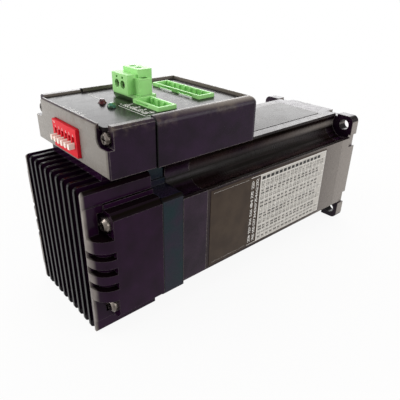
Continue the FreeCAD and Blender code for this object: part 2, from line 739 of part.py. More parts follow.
def shaft():
    """Turned shaft: output end with a flat, thick middle, two bearing seats, thin encoder end."""
    body = new_body("shaft")
    sketch = new_sketch(body, "section", "XZ_Plane")
    rear_seat_end = REAR_BEARING + " - $bearing_width"
    polygon(sketch, [
        (rear_seat_end + " - $encoder_shaft_length", "0"),
        ("$shaft_reach", "0"),
        ("$shaft_reach", "$shaft_radius - 0.5"),
        ("$shaft_reach - 0.5", "$shaft_radius"),
        ("$pilot_height", "$shaft_radius"),
        ("$pilot_height", "$seat_radius"),
        ("-($bearing_inset + $bearing_width)", "$seat_radius"),
        ("-($bearing_inset + $bearing_width)", "$shaft_body_radius"),
        (REAR_BEARING, "$shaft_body_radius"),
        (REAR_BEARING, "$seat_radius"),
        (rear_seat_end, "$seat_radius"),
        (rear_seat_end, "$encoder_shaft_radius"),
        (rear_seat_end + " - $encoder_shaft_length", "$encoder_shaft_radius"),
    ])
    turn(body, "turned", sketch)
    flat = new_sketch(body, "flat", "YZ_Plane", "$shaft_reach")
    rectangle(flat, "-$shaft_radius", "$shaft_radius", "$shaft_radius - $flat_depth", "$shaft_radius + 1")
    pocket(body, "flat_cut", flat, "$flat_length")
    return body


ROTOR_FRONT = "(" + STACK_FRONT + " - (" + STACK_LENGTH + " - 2 * " + CUP_LENGTH + " - $magnet_length) / 2)"


def rotor_cup(name, front, turned_by):
    """Rotor half with fifty straight teeth."""
    body = new_body(name)
    section = new_sketch(body, "section", "YZ_Plane", front)
    circle(section, "0", "0", "$rotor_radius")
    circle(section, "0", "0", "$shaft_body_radius")
    pad(body, "disc", section, CUP_LENGTH, backwards=True)
    gap = new_sketch(body, "tooth_gap", "YZ_Plane", front)
    tooth_gap(gap, "(%s)" % turned_by, "$rotor_radius", -1)
    cut = pocket(body, "tooth_cut", gap, CUP_LENGTH)
    polar(body, "teeth", [cut], "$rotor_teeth")
    return body


def bearing(name, front):
    """A deep-groove ball bearing: outer race, inner race, and its balls in their cage."""
    rear = front + " - $bearing_width"
    middle = front + " - $bearing_width / 2"
    pitch = "($bearing_radius + $seat_radius) / 2"
    groove = "$ball_radius + $ball_clearance"
    for part, inner, outer in (("outer_race", "$bearing_radius - $race_wall", "$bearing_radius"),
                               ("inner_race", "$seat_radius", "$seat_radius + $race_wall")):
        body = turned_ring(name + "_" + part, front, rear, inner, outer)
        sketch = new_sketch(body, "groove", "XZ_Plane")
        circle(sketch, middle, pitch, groove)
        doc.recompute()
        before = volume_now(body)
        cut = add_feature(body, "Groove", "groove_cut", sketch)
        cut.ReferenceAxis = (sketch, ["H_Axis"])
        cut.Angle = 360.0
        doc.recompute()
        if volume_now(body) >= before:
            raise ValueError(cut.Name + " cuts nothing")
    cage = new_body(name + "_balls")
    section = new_sketch(cage, "cage", "XZ_Plane")
    rectangle(section, middle + " - 1.2", middle + " + 1.2", pitch + " - 0.5", pitch + " + 0.5")
    turn(cage, "cage_ring", section)
    ball = new_sketch(cage, "ball", "XZ_Plane")
    half_disc(ball, middle, pitch, "$ball_radius")
    axis_line(ball, pitch)
    sphere = turn(cage, "ball_turned", ball, "Axis0")
    polar(cage, "ball_set", [sphere], "$ball_count")


def half_disc(sketch, across, up, radius):
    """A half circle standing on a line: turned round the line, it makes a ball."""
    x = value_of(across)
    z = value_of(up)
    r = value_of(radius)
    arc = sketch.addGeometry(Part.Arc(V(x + r, z, 0), V(x, z + r, 0), V(x - r, z, 0)))
    line = sketch.addGeometry(Part.LineSegment(V(x - r, z, 0), V(x + r, z, 0)))
    sketch.addConstraint(Sketcher.Constraint("Coincident", arc, 2, line, 1))
    sketch.addConstraint(Sketcher.Constraint("Coincident", arc, 1, line, 2))
    place_point(sketch, arc, 3, across, up)
    dimension(sketch, "Radius", arc, size=radius)
    for end in (1, 2):
        dimension(sketch, "DistanceY", -1, 1, line, end, size=up)


# Encoder and power stage ----------------------------------------------------------------------------

POWER_FRONT = "(" + BAND_REAR + " + $pad_thickness + $transistor_height + $board_thickness)"


def encoder_housing():
    """Band behind the motor: it holds the encoder and the power board and takes the heat sink screws."""
    body = new_body("encoder_housing")
    section = new_sketch(body, "section", "YZ_Plane", BELL_REAR)
    square_section(section, HALF)
    pad(body, "block", section, "$band_length", backwards=True)
    corner_notches(body, BELL_REAR, "$band_length", "$band_notch_wall", "$notch_floor", "$edge_bevel")
    encoder_room = new_sketch(body, "encoder_room", "YZ_Plane", BELL_REAR)
    circle(encoder_room, "0", "0", "$board_radius + $board_clearance")
    pocket(body, "encoder_room_cut", encoder_room, "$band_length")
    board_seat = new_sketch(body, "board_seat", "YZ_Plane", BAND_REAR)
    circle(board_seat, "0", "0", "$power_board_radius + $board_clearance")
    pocket(body, "board_seat_cut", board_seat, POWER_FRONT + " - " + BAND_REAR, along_normal=True)
    tie_holes(body, BELL_REAR, "$band_length", "$tie_radius + $screw_clearance")
    heads = new_sketch(body, "tie_heads", "YZ_Plane", BAND_REAR)

    def head(side, height):
        circle(heads, signed(TIE_SIDE, side), signed(TIE_SIDE, height), "$tie_head_radius + $screw_clearance")

    four_corners(head)
    pocket(body, "tie_head_cut", heads, "$tie_head_height + 0.2", along_normal=True)
    threads = new_sketch(body, "sink_threads", "YZ_Plane", BAND_REAR)
    sink_screw_circles(threads, "$sink_screw_radius")
    pocket(body, "sink_thread_cut", threads, "$band_length - 1", along_normal=True)
    return body


def sink_screw_circles(sketch, radius):
    def hole(side, height):
        circle(sketch, signed("$sink_screw_side", side), signed("$sink_screw_height", height), radius)

    four_corners(hole)


def encoder_board():
    """Round board on the rear end bell, with its optical reader."""
    body = new_body("encoder_board")
    front = "(" + BELL_REAR + " - $board_clearance)"
    section = new_sketch(body, "section", "YZ_Plane", front)
    circle(section, "0", "0", "$board_radius")
    circle(section, "0", "0", "$shaft_radius + $shaft_clearance")
    pad(body, "board", section, "$board_thickness", backwards=True)
    reader = new_sketch(body, "reader", "YZ_Plane", front + " - $board_thickness")
    rectangle(reader, "-$reader_size / 2", "$reader_size / 2",
              "$disc_radius - 0.6 * $reader_size", "$disc_radius + 0.4 * $reader_size")
    pad(body, "reader_block", reader, "$disc_gap - 0.3", backwards=True)
    return body


def encoder_disc():
    """Disc on its hub at the thin end of the shaft."""
    body = new_body("encoder_disc")
    front = "(" + BELL_REAR + " - $board_clearance - $board_thickness - $disc_gap)"
    sketch = new_sketch(body, "section", "XZ_Plane")
    polygon(sketch, [
        (front, "$encoder_shaft_radius"),
        (front, "$disc_radius"),
        (front + " - $disc_thickness", "$disc_radius"),
        (front + " - $disc_thickness", "$hub_radius"),
        (front + " - $hub_length", "$hub_radius"),
        (front + " - $hub_length", "$encoder_shaft_radius"),
    ])
    turn(body, "turned", sketch)
    return body


def power_board():
    """Round board that carries the power transistors against the heat sink."""
    body = new_body("power_board")
    section = new_sketch(body, "section", "YZ_Plane", POWER_FRONT + " - 0.1")
    circle(section, "0", "0", "$power_board_radius")
    pad(body, "board", section, "$board_thickness - 0.1", backwards=True)
    return body


def power_transistors():
    """Eight flat transistors between the power board and the thermal pad."""
    body = new_body("power_transistors")
    front = "(" + BAND_REAR + " + $pad_thickness + $transistor_height)"
    sketch = new_sketch(body, "section", "YZ_Plane", front)
    rectangle(sketch, "-$transistor_width / 2", "$transistor_width / 2",
              "$power_board_radius - $transistor_inset - $transistor_length",
              "$power_board_radius - $transistor_inset")
    block = pad(body, "block", sketch, "$transistor_height", backwards=True)
    polar(body, "set", [block], "8")
    return body


def thermal_pad():
    body = new_body("thermal_pad")
    section = new_sketch(body, "section", "YZ_Plane", BAND_REAR + " + $pad_thickness")
    circle(section, "0", "0", "$power_board_radius - $pad_margin")
    circle(section, "0", "0", "$power_board_radius - $pad_margin - $pad_width")
    pad(body, "sheet", section, "$pad_thickness", backwards=True)
    return body


# Heat sink ------------------------------------------------------------------------------------------

def heat_sink():
    """Cast cap with nine upright fins between two side bars; each bar has slots and screw recesses."""
    body = new_body("heat_sink")
    section = new_sketch(body, "section", "YZ_Plane", BAND_REAR)
    square_section(section, HALF)
    pad(body, "block", section, "$sink_length", backwards=True)
    rear = value_of(SINK_REAR)

    def is_rear_upright(edge):
        return runs_along(edge, V(0, 0, 1)) and near(edge.CenterOfMass.x, rear)

    dress(body, "Fillet", "bar_corners", "$sink_corner", is_rear_upright)
    corner_notches(body, BAND_REAR, "$sink_length", "$sink_notch_wall", "$sink_notch_floor",
                   "$sink_notch_bevel")
    rounding = new_sketch(body, "rear_rounding", "XZ_Plane", "-(" + HALF + " + 1)")
    for side in (1, -1):
        corner_outline(rounding, side, "$sink_round", "0")
    pocket(body, "rear_rounding_cut", rounding, "2 * (" + HALF + " + 1)", along_normal=True)
    gap = new_sketch(body, "fin_gap", "YZ_Plane", SINK_REAR)
    gap_half = "($fin_pitch - $fin_thickness) / 2"
    first = "-($fin_count - 1) * $fin_pitch / 2"
    rectangle(gap, first + " - " + gap_half, first + " + " + gap_half, "-(" + HALF + " + 1)", HALF + " + 1")
    cut = pocket(body, "fin_gap_cut", gap, "$fin_depth", along_normal=True)
    row(body, "fins", [cut], "Y_Axis", "$fin_count", "($fin_count - 1) * $fin_pitch")
    vents = new_sketch(body, "vents", "XY_Plane", "-$vent_pitch + $vent_height / 2")
    for side in (1, -1):
        corner_outline(vents, side, "$sink_corner", "$vent_depth")
    vent = pocket(body, "vent_cut", vents, "$vent_height")
    row(body, "vent_rows", [vent], "Z_Axis", "3", "2 * $vent_pitch")
    recess = new_sketch(body, "recess", "YZ_Plane", SINK_REAR)
    sink_screw_circles(recess, "$recess_radius")
    pocket(body, "recess_cut", recess, "$recess_depth", along_normal=True)
    outward = new_sketch(body, "recess_mouth", "YZ_Plane", SINK_REAR)
    low = "$sink_screw_height - $recess_radius"

    def mouth(side, height):
        rectangle(outward, signed("$sink_screw_side", side), signed(HALF + " + 1", side),
                  signed(low, height), signed("$recess_top", height))

    four_corners(mouth)
    pocket(body, "recess_mouth_cut", outward, "$recess_depth", along_normal=True)
    holes = new_sketch(body, "screw_holes", "YZ_Plane", BAND_REAR)
    sink_screw_circles(holes, "$sink_screw_radius + $screw_clearance")
    pocket(body, "screw_hole_cut", holes, "$sink_length")
    seat = new_sketch(body, "pedestal", "XY_Plane", HALF)
    rectangle(seat, COVER_REAR + " + 1.5", BAND_REAR, "-$pedestal_width / 2", "$pedestal_width / 2")
    pad(body, "pedestal_block", seat, BOX_FLOOR + " - " + HALF)
    return body


def corner_outline(sketch, side, corner, depth):
    """What is cut from a rear edge of the sink: outside an arc, at some depth in a round corner."""
    centre_x = SINK_REAR + " + " + corner
    centre_y = HALF + " - " + corner
    reach = corner + " - " + depth
    out = HALF + " + 1"
    x0 = value_of(centre_x)
    y0 = value_of(centre_y) * side
    r = value_of(reach)
    start = V(x0, y0 + side * r, 0)
    middle = V(x0 - r * 0.5 ** 0.5, y0 + side * r * 0.5 ** 0.5, 0)
    end = V(x0 - r, y0, 0)
    far_x = value_of(SINK_REAR) - 1
    far_y = value_of(out) * side
    chain = [end, V(far_x, y0, 0), V(far_x, far_y, 0), V(x0, far_y, 0), start]
    arc = sketch.addGeometry(Part.Arc(start, middle, end))
    lines = [sketch.addGeometry(Part.LineSegment(a, b)) for a, b in zip(chain[:-1], chain[1:])]
    for first, second in zip(lines[:-1], lines[1:]):
        sketch.addConstraint(Sketcher.Constraint("Coincident", first, 2, second, 1))
    start_end = 1 if arc_start_is(sketch, arc, start) else 2
    sketch.addConstraint(Sketcher.Constraint("Coincident", arc, start_end, lines[-1], 2))
    sketch.addConstraint(Sketcher.Constraint("Coincident", arc, 3 - start_end, lines[0], 1))
    place_point(sketch, lines[0], 1, centre_x + " - (" + reach + ")", signed(centre_y, side))
    place_point(sketch, lines[1], 1, SINK_REAR + " - 1", signed(centre_y, side))
    place_point(sketch, lines[2], 1, SINK_REAR + " - 1", signed(out, side))
    place_point(sketch, lines[3], 1, centre_x, signed(out, side))
    place_point(sketch, lines[3], 2, centre_x, signed(centre_y + " + " + reach, side))
    dimension(sketch, "Radius", arc, size=reach)


def arc_start_is(sketch, arc, point):
    return sketch.getPoint(arc, 1).sub(point).Length < 1e-6


def heat_sink_screws():
    """Four button-head screws in the corner recesses."""
    body = new_body("heat_sink_screws")
    sketch = new_sketch(body, "section", "XZ_Plane", "-$sink_screw_side")
    seat = "(" + SINK_REAR + " + $recess_depth)"
    level = "$sink_screw_height"
    polygon(sketch, [
        (seat + " - $sink_head_height", level),
        (BELL_REAR + " - 1.5", level),
        (BELL_REAR + " - 1.5", level + " + $sink_screw_radius"),
        (seat, level + " + $sink_screw_radius"),
        (seat, level + " + $sink_head_radius"),
        (seat + " - 0.6 * $sink_head_height", level + " + $sink_head_radius"),
        (seat + " - $sink_head_height", level + " + 0.65 * $sink_head_radius"),
    ])
    axis_line(sketch, level)
    screw = turn(body, "screw", sketch, "Axis0")
    drive = new_sketch(body, "drive", "YZ_Plane", seat + " - $sink_head_height")
    for across, up in (("1.5", "0.35"), ("0.35", "1.5")):
        rectangle(drive, "$sink_screw_side - " + across, "$sink_screw_side + " + across,
                  level + " - " + up, level + " + " + up)
        if across == "1.5":
            first_slot = pocket(body, "drive_cut", drive, "1", along_normal=True)
            drive = new_sketch(body, "drive_cross", "YZ_Plane", seat + " - $sink_head_height")
    second_slot = pocket(body, "drive_cross_cut", drive, "1", along_normal=True)
    mirror_set(body, [screw, first_slot, second_slot])
    return body


def mirror_set(body, features):
    """Repeats features to the other side and then below, as one multi-transform would."""
    both = body.newObject("PartDesign::MultiTransform", body.Label + "_set")
    both.Originals = features
    mirrors = []
    for name, role in (("sideways", "XZ_Plane"), ("below", "XY_Plane")):
        mirror = body.newObject("PartDesign::Mirrored", body.Label + "_" + name)
        mirror.MirrorPlane = (body_plane(body, role), [""])
        mirrors.append(mirror)
    both.Transformations = mirrors
    body.Tip = both
    return both


# Driver box -----------------------------------------------------------------------------------------

def box_room(sketch, side_wall):
    """Inside outline of the box: ledges for the board below, screw posts in the upper corners."""
    ledge = "(" + side_wall + " - 2)"
    post = "($post_side - $post_room)"
    half = [
        (ledge, BOX_FLOOR + " + $box_wall"),
        (ledge, BOARD_LEVEL + " - 0.1"),
        (side_wall, BOARD_LEVEL + " - 0.1"),
        (side_wall, POST_LEVEL + " - $post_room"),
        (post, POST_LEVEL + " - $post_room"),
        (post, CEILING),
    ]
    other = [(minus(across), up) for across, up in reversed(half)]
    polygon(sketch, half + other)


BOX_INSIDE = "($box_width / 2 - $box_wall)"
PANEL_FRONT = "(" + BOX_FRONT + " - $panel_front_margin - $panel_gap)"
PANEL_REAR = "(" + COVER_REAR + " + $panel_margin + $panel_gap)"


def header_window(sketch, place, side, width, length, room):
    """A rectangular window round a header, seen from above, with some room all round."""
    across = "(({w}) / 2 + ({r}))".format(w=width, r=room)
    along = "(({l}) / 2 + ({r}))".format(l=length, r=room)
    rectangle(sketch, place + " - " + across, place + " + " + across, side + " - " + along, side + " + " + along)


SHORT_X = "(" + SEAM + " + $short_place)"
LONG_X = "(" + SEAM + " + $long_place)"
POWER_X = "(" + SEAM + " + $power_place)"
SHORT_LENGTH = "($short_pole_count * $signal_pitch + $signal_margin)"
LONG_LENGTH = "($long_pole_count * $signal_pitch + $signal_margin)"


def terminal_windows(sketch, room):
    header_window(sketch, SHORT_X, "-$short_side", "$header_width", SHORT_LENGTH, room)
    header_window(sketch, LONG_X, "$long_side", "$header_width", LONG_LENGTH, room)
    header_window(sketch, POWER_X, "$power_side", "$header_width", "$power_length", room)


def driver_box_body():
    """Front shell of the driver box, with its foot on the motor and the seat for the top panel."""
    body = new_body("driver_box_body")
    section = new_sketch(body, "section", "YZ_Plane", SEAM)
    rectangle(section, "-$box_width / 2", "$box_width / 2", BOX_FLOOR, BOX_TOP)
    pad(body, "block", section, "$box_length")
    front = value_of(BOX_FRONT)
    half = value_of("$box_width / 2")
    top = value_of(BOX_TOP)

    def is_rounded(edge):
        middle = edge.CenterOfMass
        if runs_along(edge, V(1, 0, 0)):
            return near(middle.z, top)
        if runs_along(edge, V(0, 1, 0)):
            return near(middle.z, top) and near(middle.x, front)
        return near(middle.x, front) and near(abs(middle.y), half)

    dress(body, "Fillet", "round_edges", "$box_corner", is_rounded)
    room = new_sketch(body, "room", "YZ_Plane", SEAM)
    box_room(room, BOX_INSIDE)
    pocket(body, "room_cut", room, "$box_length - $box_wall", along_normal=True)
    seat = new_sketch(body, "panel_seat", "XY_Plane", BOX_TOP + " + 1")
    rectangle(seat, SEAM + " - 1", PANEL_FRONT + " + $panel_gap",
              "-($panel_width / 2 + $panel_gap)", "$panel_width / 2 + $panel_gap")
    pocket(body, "panel_seat_cut", seat, BOX_TOP + " + 1 - " + PANEL_SEAT)
    windows = new_sketch(body, "windows", "XY_Plane", PANEL_SEAT + " + 1")
    terminal_windows(windows, "0.3")
    pocket(body, "window_cut", windows, PANEL_SEAT + " + 1 - " + CEILING + " + 0.2")
    threads = new_sketch(body, "threads", "YZ_Plane", SEAM)
    for side in (1, -1):
        circle(threads, signed("$post_side", side), POST_LEVEL, "$box_screw_radius")
    pocket(body, "thread_cut", threads, "$box_screw_length - $cover_length + 4", along_normal=True)
    foot = new_sketch(body, "foot", "XY_Plane", HALF)
    foot_rear = "(" + SEAM + " + $foot_inset)"
    rectangle(foot, foot_rear, foot_rear + " + $foot_length", "-$foot_width / 2", "$foot_width / 2")
    pad(body, "foot_block", foot, BOX_FLOOR + " - " + HALF)
    duct = new_sketch(body, "wire_duct", "XY_Plane", BOX_FLOOR + " + $box_wall")
    rectangle(duct, foot_rear + " + $foot_length / 4", foot_rear + " + $foot_length / 2",
              "-$foot_width / 4", "$foot_width / 4")
    pocket(body, "wire_duct_cut", duct, BOX_FLOOR + " + $box_wall - " + HALF)
    return body


def driver_box_cover():
    """Rear shell of the driver box: switch window, light holes and the two corner screw recesses."""
    body = new_body("driver_box_rear_cover")
    section = new_sketch(body, "section", "YZ_Plane", SEAM)
    rectangle(section, "-$cover_width / 2", "$cover_width / 2", BOX_FLOOR, COVER_TOP)
    pad(body, "block", section, "$cover_length", backwards=True)
    rear = value_of(COVER_REAR)
    top = value_of(COVER_TOP)

    def is_bevelled(edge):
        middle = edge.CenterOfMass
        if runs_along(edge, V(1, 0, 0)):
            return near(middle.z, top)
        return near(middle.x, rear)

    dress(body, "Chamfer", "bevel", "$cover_bevel", is_bevelled)
    room = new_sketch(body, "room", "YZ_Plane", SEAM)
    box_room(room, BOX_INSIDE)
    pocket(body, "room_cut", room, "$cover_length - $cover_wall")
    seat = new_sketch(body, "panel_seat", "XY_Plane", COVER_TOP + " + 1")
    rectangle(seat, PANEL_REAR + " - $panel_gap", SEAM + " + 1",
              "-($panel_width / 2 + $panel_gap)", "$panel_width / 2 + $panel_gap")
    pocket(body, "panel_seat_cut", seat, COVER_TOP + " + 1 - " + PANEL_SEAT)
    lights = new_sketch(body, "light_holes", "XY_Plane", PANEL_SEAT + " + 1")
    for side in (1, -1):
        circle(lights, SEAM + " - $light_back", signed("$light_side", side), "$light_radius + 0.2")
    pocket(body, "light_hole_cut", lights, PANEL_SEAT + " + 1 - " + CEILING + " + 0.2")
    window = new_sketch(body, "switch_window", "YZ_Plane", COVER_REAR)
    rectangle(window, "-($switch_length / 2 + 0.2)", "$switch_length / 2 + 0.2",
              SWITCH_LEVEL + " - $switch_height / 2 - 0.2", SWITCH_LEVEL + " + $switch_height / 2 + 0.2")
    pocket(body, "switch_window_cut", window, "$cover_wall + 1", along_normal=True)
    recess = new_sketch(body, "screw_recess", "YZ_Plane", COVER_REAR)
    for side in (1, -1):
        rectangle(recess, signed("$post_side - $post_room + 0.4", side), signed("$cover_width", side),
                  POST_LEVEL + " - $post_room + 0.4", BOX_TOP + " + 1")
    recess_cut = pocket(body, "screw_recess_cut", recess, "$corner_recess", along_normal=True)
    inner = value_of("$post_side - $post_room + 0.4")
    low = value_of(POST_LEVEL + " - $post_room + 0.4")

    def is_recess_corner(edge):
        middle = edge.CenterOfMass
        return runs_along(edge, V(1, 0, 0)) and near(abs(middle.y), inner) and near(middle.z, low)

    dress(body, "Fillet", "recess_round", "$post_room - 0.6", is_recess_corner)
    holes = new_sketch(body, "screw_holes", "YZ_Plane", COVER_REAR)
    for side in (1, -1):
        circle(holes, signed("$post_side", side), POST_LEVEL, "$box_screw_radius + $screw_clearance")
    pocket(body, "screw_hole_cut", holes, "$cover_length", along_normal=True)
    return body


def box_screws():
    """Two screws that hold the rear cover."""
    body = new_body("box_screws")
    seat = "(" + COVER_REAR + " + $corner_recess)"
    sketch = new_sketch(body, "section", "XZ_Plane", "-$post_side")
    level = POST_LEVEL
    polygon(sketch, [
        (seat + " - $box_head_height", level),
        (seat + " + $box_screw_length - $corner_recess", level),
        (seat + " + $box_screw_length - $corner_recess", level + " + $box_screw_radius"),
        (seat, level + " + $box_screw_radius"),
        (seat, level + " + $box_head_radius"),
        (seat + " - 0.6 * $box_head_height", level + " + $box_head_radius"),
        (seat + " - $box_head_height", level + " + 0.7 * $box_head_radius"),
    ])
    axis_line(sketch, level)
    screw = turn(body, "screw", sketch, "Axis0")
    slot = new_sketch(body, "drive", "YZ_Plane", seat + " - $box_head_height")
    rectangle(slot, "$post_side - 1.2", "$post_side + 1.2", level + " - 0.3", level + " + 0.3")
    first_slot = pocket(body, "drive_cut", slot, "0.8", along_normal=True)
    cross = new_sketch(body, "drive_cross", "YZ_Plane", seat + " - $box_head_height")
    rectangle(cross, "$post_side - 0.3", "$post_side + 0.3", level + " - 1.2", level + " + 1.2")
    second_slot = pocket(body, "drive_cross_cut", cross, "0.8", along_normal=True)
    mirror = body.newObject("PartDesign::Mirrored", "box_screws_pair")
    mirror.Originals = [screw, first_slot, second_slot]
    mirror.MirrorPlane = (body_plane(body, "XZ_Plane"), [""])
    body.Tip = mirror
    return body


def top_panel():
    """Plate that closes the box, with windows for the terminals and the lights."""
    body = new_body("top_panel")
    section = new_sketch(body, "section", "XY_Plane", PANEL_SEAT)
    rectangle(section, PANEL_REAR, PANEL_FRONT, "-$panel_width / 2", "$panel_width / 2")
    pad(body, "plate", section, "$panel_thickness")
    half = value_of("$panel_width / 2")

    def is_corner(edge):
        return runs_along(edge, V(0, 0, 1)) and near(abs(edge.CenterOfMass.y), half)

    dress(body, "Fillet", "corners", "1.5", is_corner)
    windows = new_sketch(body, "windows", "XY_Plane", PANEL_SEAT + " + $panel_thickness")
    terminal_windows(windows, "0.2")
    for side in (1, -1):
        circle(windows, SEAM + " - $light_back", signed("$light_side", side), "$light_radius + 0.15")
    pocket(body, "window_cut", windows, "$panel_thickness")
    return body


def control_board():
    """Control board on the ledges of the box, with its larger components."""
    body = new_body("control_board")
    section = new_sketch(body, "section", "XY_Plane", BOARD_LEVEL)
    side = "(" + BOX_INSIDE + " - $board_clearance)"
    rear = "(" + COVER_REAR + " + $cover_wall + $board_rear_gap)"
    front = "(" + BOX_FRONT + " - $box_wall - $board_front_gap)"
    rectangle(section, rear, front, minus(side), side)
    pad(body, "board", section, "$control_board_thickness")
    parts = new_sketch(body, "components", "XY_Plane", BOARD_TOP)
    for along, across in ((0.5, -0.27), (0.5, 0.0), (0.5, 0.2), (-0.16, -0.2), (-0.16, 0.2)):
        middle_x = "(%s + %s * $box_length)" % (SEAM, along)
        middle_y = "(%s * $box_width)" % across
        rectangle(parts, middle_x + " - $chip_size / 2", middle_x + " + $chip_size / 2",
                  middle_y + " - $chip_size / 2", middle_y + " + $chip_size / 2")
    pad(body, "component_blocks", parts, "$chip_height")
    return body


def switch_board():
    """Small upright board behind the switch."""
    body = new_body("switch_board")
    front = "(" + COVER_REAR + " - $switch_proud + $switch_depth + $board_thickness)"
    section = new_sketch(body, "section", "YZ_Plane", front)
    rectangle(section, "-$switch_board_width / 2", "$switch_board_width / 2",
              BOX_FLOOR + " + $box_wall + 0.1", CEILING + " - 0.1")
    pad(body, "board", section, "$board_thickness", backwards=True)
    return body


# Switch ---------------------------------------------------------------------------------------------

SWITCH_FACE = "(" + COVER_REAR + " - $switch_proud)"
LEVER_LOW = "(" + SWITCH_LEVEL + " - $lever_travel / 2 - $lever_height / 2)"


def switch_body():
    """Body of the six-way switch: a slot for each lever and a wider chamber behind it."""
    body = new_body("switch_body")
    section = new_sketch(body, "section", "YZ_Plane", SWITCH_FACE)
    rectangle(section, "-$switch_length / 2", "$switch_length / 2",
              SWITCH_LEVEL + " - $switch_height / 2", SWITCH_LEVEL + " + $switch_height / 2")
    pad(body, "block", section, "$switch_depth")
    first = "-($switch_count - 1) * $switch_pitch / 2"
    slot = new_sketch(body, "slot", "YZ_Plane", SWITCH_FACE)
    half = "($lever_width / 2 + $lever_clearance)"
    low = LEVER_LOW + " - $lever_clearance"
    high = LEVER_LOW + " + $lever_height + $lever_travel + $lever_clearance"
    rectangle(slot, first + " - " + half, first + " + " + half, low, high)
    slot_cut = pocket(body, "slot_cut", slot, "$switch_depth - 1", along_normal=True)
    chamber = new_sketch(body, "chamber", "YZ_Plane", SWITCH_FACE + " + 1")
    wide = "($lever_width / 2 + 0.4 + $lever_clearance)"
    rectangle(chamber, first + " - " + wide, first + " + " + wide, low + " - 0.5", high + " + 0.5")
    chamber_cut = pocket(body, "chamber_cut", chamber, "$switch_depth - 2", along_normal=True)
    row(body, "slots", [slot_cut, chamber_cut], "Y_Axis", "$switch_count", "($switch_count - 1) * $switch_pitch")
    return body


def switch_lever(number):
    """One lever: a stem through the slot and a wider foot in the chamber."""
    body = new_body("switch_lever_%d" % number)
    side = "(($switch_count - 1) / 2 - %d) * $switch_pitch" % (number - 1)
    section = new_sketch(body, "stem", "YZ_Plane", SWITCH_FACE + " - $lever_proud")
    half = "$lever_width / 2"
    rectangle(section, side + " - " + half, side + " + " + half, LEVER_LOW, LEVER_LOW + " + $lever_height")
    pad(body, "stem_block", section, "$lever_proud + 1 + $lever_clearance + $lever_foot")
    foot = new_sketch(body, "foot", "YZ_Plane", SWITCH_FACE + " + 1 + $lever_clearance")
    rectangle(foot, side + " - " + half + " - 0.4", side + " + " + half + " + 0.4",
              LEVER_LOW + " - 0.4", LEVER_LOW + " + $lever_height + 0.4")
    pad(body, "foot_block", foot, "$lever_foot")
    return body


def status_light(name, sign):
    """Round light with its dome, flange and two legs on the board."""
    body = new_body(name)
    x = "(" + SEAM + " - $light_back)"
    side = signed("$light_side", sign)
    legs = new_sketch(body, "legs", "XY_Plane", BOARD_TOP)
    for step in ("-0.9", "0.9"):
        circle(legs, x, side + " + " + step, "0.25")
    foot = "(" + CEILING + " - 1.2)"
    flange = new_sketch(body, "flange", "XY_Plane", foot)
    circle(flange, x, side, "$light_radius + $light_flange")
    pad(body, "flange_disc", flange, "1")
    bulb = new_sketch(body, "bulb", "XY_Plane", foot)
    circle(bulb, x, side, "$light_radius")
    pad(body, "bulb_column", bulb, LIGHT_TOP + " - " + foot)
    doc.recompute()
    top = value_of(LIGHT_TOP)

    def is_top(edge):
        return edge.Curve.TypeId == "Part::GeomCircle" and near(edge.CenterOfMass.z, top)

    dress(body, "Fillet", "dome", "$light_radius * 0.8", is_top)
    pad(body, "leg_pins", legs, foot + " - " + BOARD_TOP)
    return body


# Terminals ------------------------------------------------------------------------------------------

def signal_header(name, place, side, poles, length, latches):
    """Open-topped header: cavity with a rib at each pole, latch windows in the rear wall."""
    body = new_body(name)
    outline = new_sketch(body, "outline", "XY_Plane", BOARD_TOP)
    header_window(outline, place, side, "$header_width", length, "0")
    pad(body, "block", outline, HEADER_TOP + " - " + BOARD_TOP)
    cavity = new_sketch(body, "cavity", "XY_Plane", HEADER_TOP)
    header_window(cavity, place, side, "$header_width", length, minus("$header_wall"))
    pocket(body, "cavity_cut", cavity, HEADER_TOP + " - " + BOARD_TOP + " - $header_floor")
    rib = new_sketch(body, "rib", "XY_Plane", BOARD_TOP + " + $header_floor")
    wall = place + " + $header_width / 2 - $header_wall"
    first = side + " - (" + poles + " - 1) * $signal_pitch / 2"
    rectangle(rib, wall + " - $rib_depth", wall + " + 0.1", first + " - $rib_width / 2", first + " + $rib_width / 2")
    rib_pad = pad(body, "rib_block", rib, HEADER_TOP + " - 0.3 - " + BOARD_TOP + " - $header_floor")
    row(body, "ribs", [rib_pad], "Y_Axis", poles, "(" + poles + " - 1) * $signal_pitch")
    windows = new_sketch(body, "latch_windows", "XY_Plane", HEADER_TOP + " - 0.45")
    rear_wall = place + " - $header_width / 2"
    for start, end in latches:
        rectangle(windows, rear_wall + " - 0.5", rear_wall + " + $header_wall + 0.1",
                  side + " + " + length + " * " + start, side + " + " + length + " * " + end)
    pocket(body, "latch_cut", windows, "$latch_height")
    return body


def header_pins(name, place, side, poles):
    """Square row of pins standing in a signal header and soldered into the board."""
    body = new_body(name)
    sketch = new_sketch(body, "pin", "XY_Plane", BOARD_TOP + " + $header_floor")
    first = side + " - (" + poles + " - 1) * $signal_pitch / 2"
    x = place + " - $pin_place"
    rectangle(sketch, x + " - $pin_radius", x + " + $pin_radius", first + " - $pin_radius", first + " + $pin_radius")
    pin = pad(body, "pin_block", sketch, PIN_TOP + " - " + BOARD_TOP + " - $header_floor")
    row(body, "pins", [pin], "Y_Axis", poles, "(" + poles + " - 1) * $signal_pitch")
    return body


